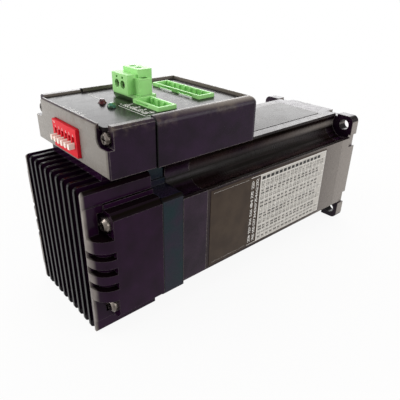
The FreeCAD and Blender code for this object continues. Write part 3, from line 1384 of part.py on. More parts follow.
def power_header():
    """Header under the power plug: a cavity for the tongue between two threaded ears."""
    body = new_body("power_header")
    outline = new_sketch(body, "outline", "XY_Plane", BOARD_TOP)
    header_window(outline, POWER_X, "$power_side", "$header_width", "$power_length", "0")
    pad(body, "block", outline, HEADER_TOP + " - " + BOARD_TOP)
    cavity = new_sketch(body, "cavity", "XY_Plane", HEADER_TOP)
    header_window(cavity, POWER_X, "$power_side", "$header_width - 2 * $header_wall",
                  "$tongue_length", "$plug_clearance")
    pocket(body, "cavity_cut", cavity, HEADER_TOP + " - " + BOARD_TOP + " - $header_floor")
    threads = new_sketch(body, "threads", "XY_Plane", HEADER_TOP)
    for sign in (1, -1):
        circle(threads, POWER_X, "$power_side + " + ear_middle(sign), "$ear_screw_radius + 0.05")
    pocket(body, "thread_cut", threads, "4.2")
    return body


def ear_middle(sign):
    return signed("($power_length / 2 - $ear_hole_inset)", sign)


def pole_side(sign):
    return "($power_side + %s)" % signed("$power_pitch / 2", sign)


def power_pins():
    """Two pins in the power header."""
    body = new_body("power_pins")
    sketch = new_sketch(body, "pins", "XY_Plane", BOARD_TOP + " + $header_floor")
    for sign in (1, -1):
        side = pole_side(sign)
        rectangle(sketch, POWER_X + " - $pin_radius", POWER_X + " + $pin_radius",
                  side + " - $pin_radius", side + " + $pin_radius")
    pad(body, "pin_blocks", sketch, PIN_TOP + " + 1 - " + BOARD_TOP + " - $header_floor")
    return body


PLUG_BASE = "(" + HEADER_TOP + " + 0.1)"
PLUG_BLOCK_TOP = "(" + BOX_TOP + " + $plug_block_height)"
PLUG_ENTRY_TOP = "(" + BOX_TOP + " + $plug_entry_height)"
PLUG_EAR_TOP = "(" + BOX_TOP + " + $plug_ear_height)"
CLAMP_REAR = "(" + POWER_X + " - $plug_front + 3.2)"
CLAMP_FRONT = "(" + POWER_X + " + $plug_back - 1)"


def power_plug():
    """Two-pole screw plug: clamp block, raised wire entry, two screw ears and the tongue below."""
    body = new_body("power_plug")
    block = new_sketch(body, "block", "XY_Plane", PLUG_BASE)
    rectangle(block, POWER_X + " - $plug_front", POWER_X + " + $plug_back",
              "$power_side - $plug_block_length / 2", "$power_side + $plug_block_length / 2")
    pad(body, "clamp_block", block, PLUG_BLOCK_TOP + " - " + PLUG_BASE)
    ears = new_sketch(body, "ears", "XY_Plane", PLUG_BASE)
    rectangle(ears, POWER_X + " - $ear_rear", POWER_X + " + $ear_front",
              "$power_side - $power_length / 2", "$power_side + $power_length / 2")
    pad(body, "ear_block", ears, PLUG_EAR_TOP + " - " + PLUG_BASE)
    back = new_sketch(body, "entry", "XY_Plane", PLUG_BASE)
    rectangle(back, POWER_X + " + $plug_back - $entry_depth", POWER_X + " + $plug_back",
              "$power_side - $power_length / 2 + $entry_inset",
              "$power_side - $power_length / 2 + $entry_inset + $entry_length")
    pad(body, "entry_block", back, PLUG_ENTRY_TOP + " - " + PLUG_BASE)
    tongue = new_sketch(body, "tongue", "XY_Plane", PLUG_BASE)
    header_window(tongue, POWER_X, "$power_side", "$header_width - 2 * $header_wall", "$tongue_length", "0")
    pad(body, "tongue_block", tongue, PLUG_BASE + " - " + BOARD_TOP + " - $header_floor - 0.4", backwards=True)
    sockets = new_sketch(body, "sockets", "XY_Plane", BOARD_TOP)
    for sign in (1, -1):
        side = pole_side(sign)
        rectangle(sockets, POWER_X + " - $pin_radius - 0.25", POWER_X + " + $pin_radius + 0.25",
                  side + " - $pin_radius - 0.25", side + " + $pin_radius + 0.25")
    pocket(body, "socket_cut", sockets, PIN_TOP + " + 1.3 - " + BOARD_TOP, along_normal=True)
    access = new_sketch(body, "screw_access", "YZ_Plane", POWER_X + " - $plug_front")
    for sign in (1, -1):
        circle(access, pole_side(sign), CLAMP_LEVEL, "$clamp_head_radius + 0.15")
        rectangle(access, pole_side(sign) + " - 0.6", pole_side(sign) + " + 0.6",
                  PLUG_BLOCK_TOP + " - 1.7", PLUG_BLOCK_TOP + " - 0.9")
    pocket(body, "screw_access_cut", access, "3.4", along_normal=True)
    for sign in (1, -1):
        side = pole_side(sign)
        name = "left" if sign > 0 else "right"
        room = new_sketch(body, name + "_clamp_room", "YZ_Plane", CLAMP_REAR)
        rectangle(room, side + " - $clamp_room", side + " + $clamp_room",
                  CLAMP_LEVEL + " - $clamp_half_height", CLAMP_LEVEL + " + $clamp_half_height")
        pocket(body, name + "_clamp_room_cut", room, CLAMP_FRONT + " - " + CLAMP_REAR, along_normal=True)
        entry = new_sketch(body, name + "_wire_entry", "XY_Plane", PLUG_ENTRY_TOP)
        circle(entry, POWER_X + " + $plug_back - $entry_depth / 2", side, "$entry_radius")
        pocket(body, name + "_wire_entry_cut", entry, PLUG_ENTRY_TOP + " - " + CLAMP_LEVEL + " - $clamp_half_height + 0.2")
    ear_holes = new_sketch(body, "ear_holes", "XY_Plane", PLUG_EAR_TOP)
    for sign in (1, -1):
        circle(ear_holes, POWER_X, "$power_side + " + ear_middle(sign), "$ear_head_radius + 0.15")
    pocket(body, "ear_hole_cut", ear_holes, PLUG_EAR_TOP + " - " + PLUG_BASE + " - $ear_floor")
    ear_shanks = new_sketch(body, "ear_shanks", "XY_Plane", PLUG_EAR_TOP)
    for sign in (1, -1):
        circle(ear_shanks, POWER_X, "$power_side + " + ear_middle(sign), "$ear_screw_radius + $screw_clearance")
    pocket(body, "ear_shank_cut", ear_shanks, PLUG_EAR_TOP + " - " + PLUG_BASE)
    return body


def ear_screws():
    """Two captive screws that hold the plug to its header."""
    body = new_body("plug_ear_screws")
    seat = PLUG_BASE + " + $ear_floor + $screw_clearance"
    head = new_sketch(body, "heads", "XY_Plane", seat)
    shank = new_sketch(body, "shanks", "XY_Plane", seat)
    for sign in (1, -1):
        side = "$power_side + " + ear_middle(sign)
        circle(head, POWER_X, side, "$ear_head_radius")
        circle(shank, POWER_X, side, "$ear_screw_radius")
    pad(body, "head_discs", head, "$ear_head_height")
    pad(body, "shank_rods", shank, "$ear_screw_length", backwards=True)
    slot = new_sketch(body, "slots", "XY_Plane", seat + " + $ear_head_height")
    for sign in (1, -1):
        side = "$power_side + " + ear_middle(sign)
        rectangle(slot, POWER_X + " - $ear_head_radius - 0.1", POWER_X + " + $ear_head_radius + 0.1",
                  side + " - 0.25", side + " + 0.25")
    pocket(body, "slot_cut", slot, "0.6")
    return body


def clamp_screw(name, sign):
    """Slotted clamp screw, turned from the rear face of the plug."""
    body = new_body(name)
    side = pole_side(sign)
    head_rear = "(" + POWER_X + " - $plug_front + $clamp_head_sink)"
    head = new_sketch(body, "head", "YZ_Plane", head_rear)
    circle(head, side, CLAMP_LEVEL, "$clamp_head_radius")
    pad(body, "head_disc", head, "$clamp_head_height")
    shank = new_sketch(body, "shank", "YZ_Plane", head_rear)
    circle(shank, side, CLAMP_LEVEL, "$clamp_screw_radius")
    pad(body, "shank_rod", shank, "$clamp_screw_length")
    slot = new_sketch(body, "slot", "YZ_Plane", head_rear)
    rectangle(slot, side + " - 1.5", side + " + 1.5", CLAMP_LEVEL + " - 0.25", CLAMP_LEVEL + " + 0.25")
    pocket(body, "slot_cut", slot, "0.7", along_normal=True)
    return body


def clamp_cage(name, sign):
    """Sheet-metal cage that the clamp screw draws against the contact."""
    body = new_body(name)
    side = pole_side(sign)
    rear = "(" + CLAMP_REAR + " + 0.15)"
    front = "(" + CLAMP_FRONT + " - $cage_travel - 0.15)"
    half = "($clamp_room - 0.2)"
    block = new_sketch(body, "block", "XY_Plane", CLAMP_LEVEL + " - 2")
    rectangle(block, rear, front, side + " - " + half, side + " + " + half)
    pad(body, "cage_block", block, "4")
    tunnel = new_sketch(body, "tunnel", "XY_Plane", CLAMP_LEVEL + " - 2")
    rectangle(tunnel, rear + " + 1.1", front + " - 0.5", side + " - 1", side + " + 1")
    pocket(body, "tunnel_cut", tunnel, "4", along_normal=True)
    thread = new_sketch(body, "thread", "YZ_Plane", rear)
    circle(thread, side, CLAMP_LEVEL, "$clamp_screw_radius + 0.08")
    pocket(body, "thread_cut", thread, "1.2", along_normal=True)
    return body


# Labels ---------------------------------------------------------------------------------------------

def side_label():
    """Thin film on the right side of the stack."""
    body = new_body("side_label")
    sketch = new_sketch(body, "outline", "XZ_Plane", HALF)
    rear = "(" + STACK_REAR + " + $side_label_margin)"
    front = "(" + STACK_FRONT + " - $side_label_front)"
    rectangle(sketch, rear, front, "-$side_label_height / 2", "$side_label_height / 2")
    pad(body, "film", sketch, "$label_thickness")
    return body


def top_label():
    """Thin film on the top of the stack, in front of the driver box."""
    body = new_body("top_label")
    sketch = new_sketch(body, "outline", "XY_Plane", HALF)
    rectangle(sketch, BOX_FRONT + " + 1", STACK_FRONT + " - $top_label_margin",
              "-$top_label_width / 2", "$top_label_width / 2")
    pad(body, "film", sketch, "$label_thickness")
    return body


def build_all():
    front_end_bell()
    stator_stack()
    insulator("front_insulator", STACK_FRONT + " + $insulator_thickness")
    insulator("rear_insulator", STACK_REAR)
    phase_coils("phase_a_coils", POLE_ANGLE)
    phase_coils("phase_b_coils", POLE_ANGLE + " * 3")
    rear_end_bell()
    tie_screws()
    shaft()
    rotor_cup("front_rotor_cup", ROTOR_FRONT, "0 deg")
    rotor_cup("rear_rotor_cup", ROTOR_FRONT + " - " + CUP_LENGTH + " - $magnet_length", "180 deg / $rotor_teeth")
    turned_ring("rotor_magnet", ROTOR_FRONT + " - " + CUP_LENGTH,
                ROTOR_FRONT + " - " + CUP_LENGTH + " - $magnet_length", "$shaft_body_radius", "$magnet_radius")
    bearing("front_bearing", "(-$bearing_inset)")
    bearing("rear_bearing", REAR_BEARING)
    turned_ring("preload_washer", REAR_BEARING + " - $bearing_width",
                REAR_BEARING + " - $bearing_width - $washer_thickness",
                "$bearing_radius - $race_wall", "$bearing_radius - 0.2")
    encoder_housing()
    encoder_board()
    encoder_disc()
    power_board()
    power_transistors()
    thermal_pad()
    heat_sink()
    heat_sink_screws()
    driver_box_body()
    driver_box_cover()
    box_screws()
    top_panel()
    control_board()
    switch_board()
    switch_body()
    for number in range(1, int(value_of("$switch_count")) + 1):
        switch_lever(number)
    status_light("red_light", 1)
    status_light("green_light", -1)
    signal_header("short_header", SHORT_X, "-$short_side", "$short_pole_count", SHORT_LENGTH, [("-0.1", "0.36")])
    signal_header("long_header", LONG_X, "$long_side", "$long_pole_count", LONG_LENGTH,
                  [("-0.36", "-0.06"), ("0.06", "0.36")])
    header_pins("short_header_pins", SHORT_X, "-$short_side", "$short_pole_count")
    header_pins("long_header_pins", LONG_X, "$long_side", "$long_pole_count")
    power_header()
    power_pins()
    power_plug()
    ear_screws()
    clamp_screw("left_clamp_screw", 1)
    clamp_screw("right_clamp_screw", -1)
    clamp_cage("left_clamp_cage", 1)
    clamp_cage("right_clamp_cage", -1)
    side_label()
    top_label()


def check_and_export():
    """Stops at any failed object or bad shape, then writes one STEP file for each sub-part."""
    doc.recompute()
    for item in doc.Objects:
        if "Invalid" in item.State or "Error" in item.State:
            raise ValueError("failed: " + item.Name)
    bodies = [item for item in doc.Objects if item.TypeId == "PartDesign::Body"]
    for body in bodies:
        if body.Shape.isNull() or not body.Shape.isValid():
            raise ValueError("bad shape: " + body.Label)
    os.makedirs("parts", exist_ok=True)
    for body in bodies:
        body.Shape.exportStep("parts/" + body.Label + ".step")
        box = body.Shape.BoundBox
        print("%-24s solids %2d  volume %9.1f  x %.1f..%.1f  y %.1f..%.1f  z %.1f..%.1f" % (
            body.Label, len(body.Shape.Solids), body.Shape.Volume,
            box.XMin, box.XMax, box.YMin, box.YMax, box.ZMin, box.ZMax))
    print("sub-parts:", len(bodies))


fill_sheet()
build_all()
check_and_export()
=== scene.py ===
# %% [markdown]
# # An integrated stepper motor with its driver box
#
# The object is a 57 mm frame stepper motor. A driver box stands on its rear
# half, an encoder housing closes the motor behind, and a finned heat sink is
# the rear cap. Nearly all of it is painted black, so the whole look rests on
# how black takes the light of a white room, and on a few small bright things:
# green terminals, a red switch, a printed label.
#
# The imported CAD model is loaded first. Its nodes are true in shape, so they
# stay and get materials. Two of them, the heat sink and the red light, are
# replaced by better meshes, and the prints that CAD leaves out are new pieces.

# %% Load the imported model
import json
import math

import bmesh
import bpy
import numpy as np
from mathutils import Matrix, Vector


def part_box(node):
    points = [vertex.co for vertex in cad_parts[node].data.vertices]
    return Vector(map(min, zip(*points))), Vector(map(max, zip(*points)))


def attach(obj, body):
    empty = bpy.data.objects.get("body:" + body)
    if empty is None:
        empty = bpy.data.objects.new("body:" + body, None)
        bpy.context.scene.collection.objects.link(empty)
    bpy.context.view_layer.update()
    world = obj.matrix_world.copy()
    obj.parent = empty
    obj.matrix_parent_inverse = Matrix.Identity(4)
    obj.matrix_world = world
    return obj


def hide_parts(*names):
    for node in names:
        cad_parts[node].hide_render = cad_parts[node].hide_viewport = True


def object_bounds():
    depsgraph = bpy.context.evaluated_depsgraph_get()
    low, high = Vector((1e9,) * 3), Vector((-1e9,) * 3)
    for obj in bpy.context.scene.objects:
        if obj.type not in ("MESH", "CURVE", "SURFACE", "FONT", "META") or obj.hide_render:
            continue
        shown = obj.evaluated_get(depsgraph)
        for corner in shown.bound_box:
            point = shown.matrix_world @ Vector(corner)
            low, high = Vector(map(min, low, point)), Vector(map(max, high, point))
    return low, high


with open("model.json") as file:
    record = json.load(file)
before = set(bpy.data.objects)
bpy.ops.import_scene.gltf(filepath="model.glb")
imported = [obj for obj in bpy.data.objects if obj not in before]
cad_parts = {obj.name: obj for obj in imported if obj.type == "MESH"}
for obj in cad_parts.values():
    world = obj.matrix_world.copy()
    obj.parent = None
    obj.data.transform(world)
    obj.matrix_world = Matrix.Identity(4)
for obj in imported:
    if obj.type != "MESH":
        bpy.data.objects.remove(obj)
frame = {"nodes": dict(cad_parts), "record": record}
nodes = frame["nodes"]
cad_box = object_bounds()
scene = bpy.context.scene
MM = 0.001
print("CAD box in mm:", [[round(v / MM, 1) for v in corner] for corner in cad_box])

# %% [markdown]
# ## Camera
#
# The camera stands close by, so near corners look large and parallel edges
# run together. The lens length, the place of the camera and its turn are
# therefore one set of numbers. It is behind and above the rear right corner
# of the motor, and looks along +X and +Y, and down.

# %% A helper for objects
def add_object(name, data):
    """A new object in the scene, at the origin, unturned and unscaled."""
    made = bpy.data.objects.new(name, data)
    scene.collection.objects.link(made)
    return made


# %% Camera
CAMERA_PLACE = Vector((-195.3, -130.4, 85.4)) * MM
HEADING, TILT, ROLL = 0.8438, -0.4751, 0.0231     # radians
SENSOR, LENS = 36.0, 38.05                        # mm


def camera_axes(heading, tilt, roll):
    """Right, up and forward of a camera: forward = (cos h cos t, sin h cos t, sin t),
    right is level, and both right and up turn by the roll about forward."""
    forward = Vector((math.cos(heading) * math.cos(tilt),
                      math.sin(heading) * math.cos(tilt), math.sin(tilt)))
    level = Vector((math.sin(heading), -math.cos(heading), 0.0))
    upright = level.cross(forward)
    right = level * math.cos(roll) + upright * math.sin(roll)
    up = upright * math.cos(roll) - level * math.sin(roll)
    return right, up, forward


right, up, forward = camera_axes(HEADING, TILT, ROLL)
camera_data = bpy.data.cameras.new("camera")
camera_data.sensor_width = SENSOR
camera_data.lens = LENS
camera_data.clip_start = 0.01
camera_data.clip_end = 20.0
camera = add_object("camera", camera_data)
camera.matrix_world = Matrix((
    (right.x, up.x, -forward.x, CAMERA_PLACE.x),
    (right.y, up.y, -forward.y, CAMERA_PLACE.y),
    (right.z, up.z, -forward.z, CAMERA_PLACE.z),
    (0.0, 0.0, 0.0, 1.0)))
scene.camera = camera
print("camera looks along", [round(v, 3) for v in forward])

# %% [markdown]
# ## Helpers for materials
#
# A colour is noted as an sRGB hex value, but Cycles works with linear light, so
# one function turns it. A second function adds any node with its settings and
# links. Object coordinates are in metres, so a noise with a scale of one over
# the size of a patch has patches of that size.

# %% Colours and nodes
def linear(code):
    """sRGB hex to linear RGBA: c / 12.92 up to 0.04045, above it
    ((c + 0.055) / 1.055) ** 2.4."""
    shares = [int(code[i:i + 2], 16) / 255 for i in (1, 3, 5)]
    return tuple(c / 12.92 if c <= 0.04045 else ((c + 0.055) / 1.055) ** 2.4
                 for c in shares) + (1.0,)


def output_of(source):
    """The socket to link from: an output as it is, and a node's first output in use."""
    if isinstance(source, bpy.types.Node):
        return next(socket for socket in source.outputs if socket.enabled)
    return source


def add(tree, kind, sockets=None, **settings):
    """Adds a node to a tree. Settings are its own properties, and sockets its inputs by name
    or number: an input takes a value, or a link from an output or a node. A Mix node for
    colours has its share at 0 and its two colours at 6 and 7."""
    made = tree.nodes.new("ShaderNode" + kind)
    for name, value in settings.items():
        setattr(made, name, value)
    for name, value in (sockets or {}).items():
        value = output_of(value)
        if isinstance(value, bpy.types.NodeSocket):
            tree.links.new(value, made.inputs[name])
        else:
            made.inputs[name].default_value = value
    return made


# %% The beginning and the end of a material
LOOKS = {}


def start(name, **constants):
    """A new material in LOOKS, with its shader wired to the output. Constants go straight to
    the shader's sockets. Returns its tree, the shader and its Object coordinates."""
    LOOKS[name] = made = bpy.data.materials.new(name)
    made.use_nodes = True
    tree = made.node_tree
    tree.nodes.clear()
    shader = add(tree, "BsdfPrincipled",
                 {socket.replace("_", " "): value for socket, value in constants.items()})
    add(tree, "OutputMaterial", {"Surface": shader})
    return tree, shader, add(tree, "TexCoord").outputs["Object"]


def link_surface(tree, shader, colour, rough, normal):
    """Links a shader's colour, roughness and normal to what drives them."""
    for socket, value in (("Base Color", colour), ("Roughness", rough), ("Normal", normal)):
        tree.links.new(output_of(value), shader.inputs[socket])


def cover(tree, shader, share, colour):
    """Lays a colour over what the shader's Base Color reads, by a share from 0 to 1."""
    beneath = shader.inputs["Base Color"].links[0].from_socket
    over = add(tree, "Mix", {0: share, 6: beneath, 7: colour}, data_type="RGBA")
    tree.links.new(output_of(over), shader.inputs["Base Color"])


def rounded_edges(tree, radius_mm, whole):
    """A normal rounded over a radius, and the share of an edge: 0 where the dot product of the
    rounded normal and the face's own is 0.99 or more, 1 where it falls to whole."""
    rounded = add(tree, "Bevel", {"Radius": radius_mm * MM}, samples=4)
    face = add(tree, "NewGeometry")
    same = add(tree, "VectorMath", {0: rounded, 1: face.outputs["Normal"]},
               operation="DOT_PRODUCT")
    edge = add(tree, "MapRange", {"Value": same, "From Min": 0.99, "From Max": whole})
    return rounded, edge


# %% [markdown]
# ## Black paint on cast, pressed and drawn metal
#
# The bells, the stack, the housing and the driver box are sprayed black, each
# in its own way, and the heat sink has a thinner black coat. A sprayed film
# keeps a fine orange-peel skin, handling leaves it cloudy, and it is thinnest
# on the edges, where it wears pale. That pale line is partly wear and partly a
# painted highlight. One recipe makes them all: clouds of 9 mm between two near
# blacks, a skin as bumps, and a pale line along the edges.
# The edges are found by rounding the normal over a few tenths of a millimetre,
# and asking where that turned it away from the face.

# %% Sprayed paint
NOISE_SPAN = {"From Min": 0.3, "From Max": 0.7}       # nearly all values of a noise


def sprayed(name, film, haze, wear_and_highlight, gloss, skin_mm, skin_depth_mm, level, edge_mm):
    """Paint from film to haze in clouds of 9 mm, roughness between the two values of gloss,
    and a skin of skin_mm grains. Edge wear and painted edge highlight = the share of an
    edge x a noise of 1.3 mm."""
    tree, shader, place = start(name, Specular_IOR_Level=level)
    cloud = add(tree, "TexNoise", {"Vector": place, "Scale": 1 / (9 * MM), "Detail": 4.0})
    dull = add(tree, "MapRange", {"Value": cloud, "From Min": 0.35, "From Max": 0.65})
    paint = add(tree, "Mix", {0: dull, 6: linear(film), 7: linear(haze)}, data_type="RGBA")
    touched = add(tree, "TexNoise", {"Vector": place, "Scale": 1 / (2.5 * MM), "Detail": 5.0})
    rough = add(tree, "MapRange",
                {"Value": touched, **NOISE_SPAN, "To Min": gloss[0], "To Max": gloss[1]})
    rounded, edge = rounded_edges(tree, edge_mm, 0.88)
    skin = add(tree, "TexNoise", {"Vector": place, "Scale": 1 / (skin_mm * MM), "Detail": 3.0})
    bumps = add(tree, "Bump",
                {"Distance": skin_depth_mm * MM, "Height": skin, "Normal": rounded})
    link_surface(tree, shader, paint, rough, bumps)
    chipped = add(tree, "TexNoise", {"Vector": place, "Scale": 1 / (1.3 * MM), "Detail": 3.0})
    wear_and_highlight_share = add(tree, "Math", {0: edge, 1: chipped}, operation="MULTIPLY")
    # pale edge line: wear, and partly a painted highlight
    cover(tree, shader, wear_and_highlight_share, linear(wear_and_highlight))
    return tree, shader, place


# %% [markdown]
# ## Painted sheen, painted shade and dark joints
#
# A painted sheen makes the flat right sides pale towards the flange. Painted
# shade lies in the corner scallops and on ledges, and runs along the motor in
# streaks. Where two castings meet, the film pulls back into the joint, which
# leaves a dark line. Each is a colour laid over the paint by a share between 0
# and 1, worked out from the place and from the way a face looks.

# %% Painted sheen on the sides
SHEEN_START, SHEEN_END = -70, 4         # mm along x: the sides pale towards the flange


def rub_sides(tree, shader, place, pale):
    """Lays a painted sheen, a pale colour, over the faces that look along -Y. Share = the
    smooth step of x from SHEEN_START to SHEEN_END, times the stretch of the normal's y from
    -0.95 to -0.995."""
    axes = add(tree, "SeparateXYZ", {0: place})
    towards_flange = add(tree, "MapRange",
                         {"Value": axes.outputs["X"], "From Min": SHEEN_START * MM,
                          "From Max": SHEEN_END * MM}, interpolation_type="SMOOTHSTEP")
    face = add(tree, "NewGeometry")
    turned = add(tree, "SeparateXYZ", {0: face.outputs["Normal"]})
    flat = add(tree, "MapRange",
               {"Value": turned.outputs["Y"], "From Min": -0.95, "From Max": -0.995})
    painted_sheen = add(tree, "Math", {0: towards_flange, 1: flat}, operation="MULTIPLY")
    cover(tree, shader, painted_sheen, linear(pale))


# %% Painted shade in hollows and on ledges
def darken_hollows(tree, shader, place, ledges):
    """Lays painted shade over hollows and ledges. Hollows = |normal y x normal z| stretched,
    times streaks 60 mm long and 1.6 mm wide. Ledges = the normal's z stretched, up to the
    value given. The larger of the two counts, and it takes up to three quarters of the
    specular level."""
    face = add(tree, "NewGeometry")
    turned = add(tree, "SeparateXYZ", {0: face.outputs["Normal"]})
    slant = add(tree, "Math",
                {0: turned.outputs["Y"], 1: turned.outputs["Z"]}, operation="MULTIPLY")
    slanted = add(tree, "Math", {0: slant}, operation="ABSOLUTE")
    hollow = add(tree, "MapRange", {"Value": slanted, "From Min": 0.08, "From Max": 0.3})
    lengthwise = add(tree, "Mapping",
                     {"Vector": place,
                      "Scale": (1 / (60 * MM), 1 / (1.6 * MM), 1 / (1.6 * MM))})
    drawn = add(tree, "TexNoise", {"Vector": lengthwise, "Scale": 1.0, "Detail": 3.0})
    streaked = add(tree, "MapRange",
                   {"Value": drawn, "From Min": 0.3, "From Max": 0.6, "To Min": 0.45})
    hollow_shade = add(tree, "Math", {0: hollow, 1: streaked}, operation="MULTIPLY")
    upward = add(tree, "MapRange",
                 {"Value": turned.outputs["Z"], "From Min": 0.3, "From Max": 0.8,
                  "To Max": ledges})
    dark = add(tree, "Math", {0: hollow_shade, 1: upward}, operation="MAXIMUM")
    # near-black painted shade in the hollows and on the ledges
    cover(tree, shader, dark, linear("#0b0603"))
    level = shader.inputs["Specular IOR Level"].default_value
    held_back = add(tree, "MapRange", {"Value": dark, "To Min": level, "To Max": level / 4})
    tree.links.new(held_back.outputs[0], shader.inputs["Specular IOR Level"])


# %% Dark seams
def dark_seam(tree, shader, place, centre, half=0.0):
    """Blackens the paint within a third of a millimetre of x = centre - half and
    x = centre + half. Distance = | |x - centre| - half |."""
    axes = add(tree, "SeparateXYZ", {0: place})
    offset = add(tree, "Math", {0: axes.outputs["X"], 1: centre}, operation="SUBTRACT")
    reach = add(tree, "Math", {0: offset}, operation="ABSOLUTE")
    beyond = add(tree, "Math", {0: reach, 1: half}, operation="SUBTRACT")
    distance = add(tree, "Math", {0: beyond}, operation="ABSOLUTE")
    seam = add(tree, "MapRange",
               {"Value": distance, "From Min": 0.5 * MM, "From Max": 0.25 * MM})
    cover(tree, shader, seam, linear("#040204"))


# %% Paints of the bells and the housing
# Die-cast aluminium under satin paint: a coarse soft skin.
bell = sprayed("bell_paint", "#1a0a1a", "#2b1a2b", "#a39b94", (0.2, 0.34),
               0.9, 0.015, 0.16, 0.4)
# painted sheen: the bells' right sides pale towards the flange
rub_sides(*bell, "#8b847e")
darken_hollows(*bell, 0.0)
# Die-cast band under a thicker film: smoother, with a cold blue-green cast.
housing = sprayed("housing_paint", "#0b2227", "#22182a", "#37342f", (0.2, 0.34),
                  1.1, 0.012, 0.14, 0.3)
darken_hollows(*housing, 0.0)
housing_rear, housing_front = (corner[0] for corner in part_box("encoder_housing"))
dark_seam(*housing, (housing_rear + housing_front) / 2, (housing_front - housing_rear) / 2)
print(len(LOOKS), "paints made")

# %% [markdown]
# ## The heat sink's finish
#
# The heat sink is cast aluminium under a black coat, thinner and more even
# than paint, so that it still sheds heat. Painted shade lies on its ledges. The
# rear tips of the two side bars stand free and get a painted pale glare in
# patches, while the tips of the fins between them are painted dark as shade.
# One stretch of x finds all the tips, and the distance from the middle tells
# the bars from the fins.

# %% Heat sink paint
tree, shader, place = sprayed("heat_sink_paint", "#1a081a", "#250e27", "#77716e", (0.1, 0.22),
                              0.6, 0.005, 0.09, 0.22)
darken_hollows(tree, shader, place, 0.85)
SINK_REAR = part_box("heat_sink")[0][0]
TIP = 1.3                               # mm of a tip that differ in colour
BAR_INSIDE = 20.6                       # mm from the middle to a side bar
axes = add(tree, "SeparateXYZ", {0: place})
tips = add(tree, "MapRange",
           {"Value": axes.outputs["X"], "From Min": SINK_REAR + TIP * MM,
            "From Max": SINK_REAR + 0.05 * MM}, interpolation_type="SMOOTHSTEP")
sideways = add(tree, "Math", {0: axes.outputs["Y"]}, operation="ABSOLUTE")
on_bars = add(tree, "MapRange",
              {"Value": sideways, "From Min": BAR_INSIDE * MM,
               "From Max": (BAR_INSIDE + 0.2) * MM})
tips_of_bars = add(tree, "Math", {0: tips, 1: on_bars}, operation="MULTIPLY")
fin_tip_shade = add(tree, "Math", {0: tips, 1: tips_of_bars}, operation="SUBTRACT")
# painted shade on the rear tips of the fins
cover(tree, shader, fin_tip_shade, linear("#060406"))
glare_patches = add(tree, "TexNoise", {"Vector": place, "Scale": 1 / (4 * MM), "Detail": 4.0})
glare_spread = add(tree, "MapRange", {"Value": glare_patches, **NOISE_SPAN, "To Min": 0.6})
bar_tip_glare = add(tree, "Math", {0: tips_of_bars, 1: glare_spread}, operation="MULTIPLY")
# painted glare on the rear tips of the bars, in patches
cover(tree, shader, bar_tip_glare, linear("#87807a"))
print("tips of the bars pale behind x =", round(SINK_REAR / MM + TIP, 1), "mm")

# %% [markdown]
# ## The laminated stack
#
# The middle of a stepper is a pile of sheet steel stampings, half a millimetre
# each, pressed together and painted over. The paint doesn't hide the pile: its
# sides stay ribbed across the motor's axis. Half a millimetre is too fine to
# show at this distance, so the ribs are drawn 1.2 mm apart.

# %% Painted stack
WAVE = math.pi / 10      # metres between the bands of a wave texture of scale 1
RIB_STEP = 1.2           # mm
stack = sprayed("stack_paint", "#190b14", "#291c1b", "#a39b94", (0.2, 0.34),
                0.7, 0.01, 0.16, 0.3)
# painted sheen: the stack's right side pale towards the flange
rub_sides(*stack, "#817a74")
darken_hollows(*stack, 0.0)
tree, shader, place = stack
ribs = add(tree, "TexWave",
           {"Vector": place, "Scale": WAVE / (RIB_STEP * MM), "Distortion": 0.6,
            "Detail": 2.0, "Detail Scale": 0.4})
skin_normal = shader.inputs["Normal"].links[0].from_socket
ribbed = add(tree, "Bump",
             {"Strength": 0.6, "Distance": 0.03 * MM, "Height": ribs.outputs["Fac"],
              "Normal": skin_normal})
tree.links.new(ribbed.outputs["Normal"], shader.inputs["Normal"])
print("stack ribs", RIB_STEP, "mm apart")

# %% [markdown]
# ## The driver box
#
# The box has the same black paint. Its rear cover ends in a brushed face that
# is painted much paler, and paler still on the left, as a painted reflection
# of the bright room. Dust lies in patches on the walls just under the rim,
# together with a painted sheen of the rounded top edge, and the rim and the
# inner walls round the panel get a painted pale highlight.
# The box has one material, so each of these is a region of it, found from
# Object coordinates and from the way a face looks: everything behind a plane
# just in front of the rear face, a band under the box's top, level faces, and
# faces that look towards the box's middle.

# %% Box paint with its pale rear face
REAR_FACE_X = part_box("driver_box_rear_cover")[0][0] + 0.4 * MM
tree, shader, place = sprayed("box_paint", "#150417", "#220c26", "#a19992", (0.2, 0.32),
                              0.8, 0.01, 0.14, 0.4)
axes = add(tree, "SeparateXYZ", {0: place})
behind = add(tree, "MapRange",
             {"Value": axes.outputs["X"], "From Min": REAR_FACE_X + 0.1 * MM,
              "From Max": REAR_FACE_X - 0.1 * MM})
brushed = add(tree, "Mapping",
              {"Vector": place, "Scale": (1 / (2 * MM), 1 / (9 * MM), 1 / (0.35 * MM))})
strokes = add(tree, "TexNoise", {"Vector": brushed, "Scale": 1.0, "Detail": 3.0})
# painted reflection: the rear face is paler towards +Y, on the left
painted_left_light = add(tree, "MapRange",
                 {"Value": axes.outputs["Y"], "From Min": -26 * MM, "From Max": 20 * MM})
pale = add(tree, "Mix",
           {0: painted_left_light, 6: linear("#746e68"), 7: linear("#a09c97")}, data_type="RGBA")
brushed_painted_reflection = add(tree, "Mix", {0: strokes, 6: pale, 7: linear("#87827c")}, data_type="RGBA")
cover(tree, shader, behind, brushed_painted_reflection)
print("pale face behind x =", round(REAR_FACE_X / MM, 2), "mm")

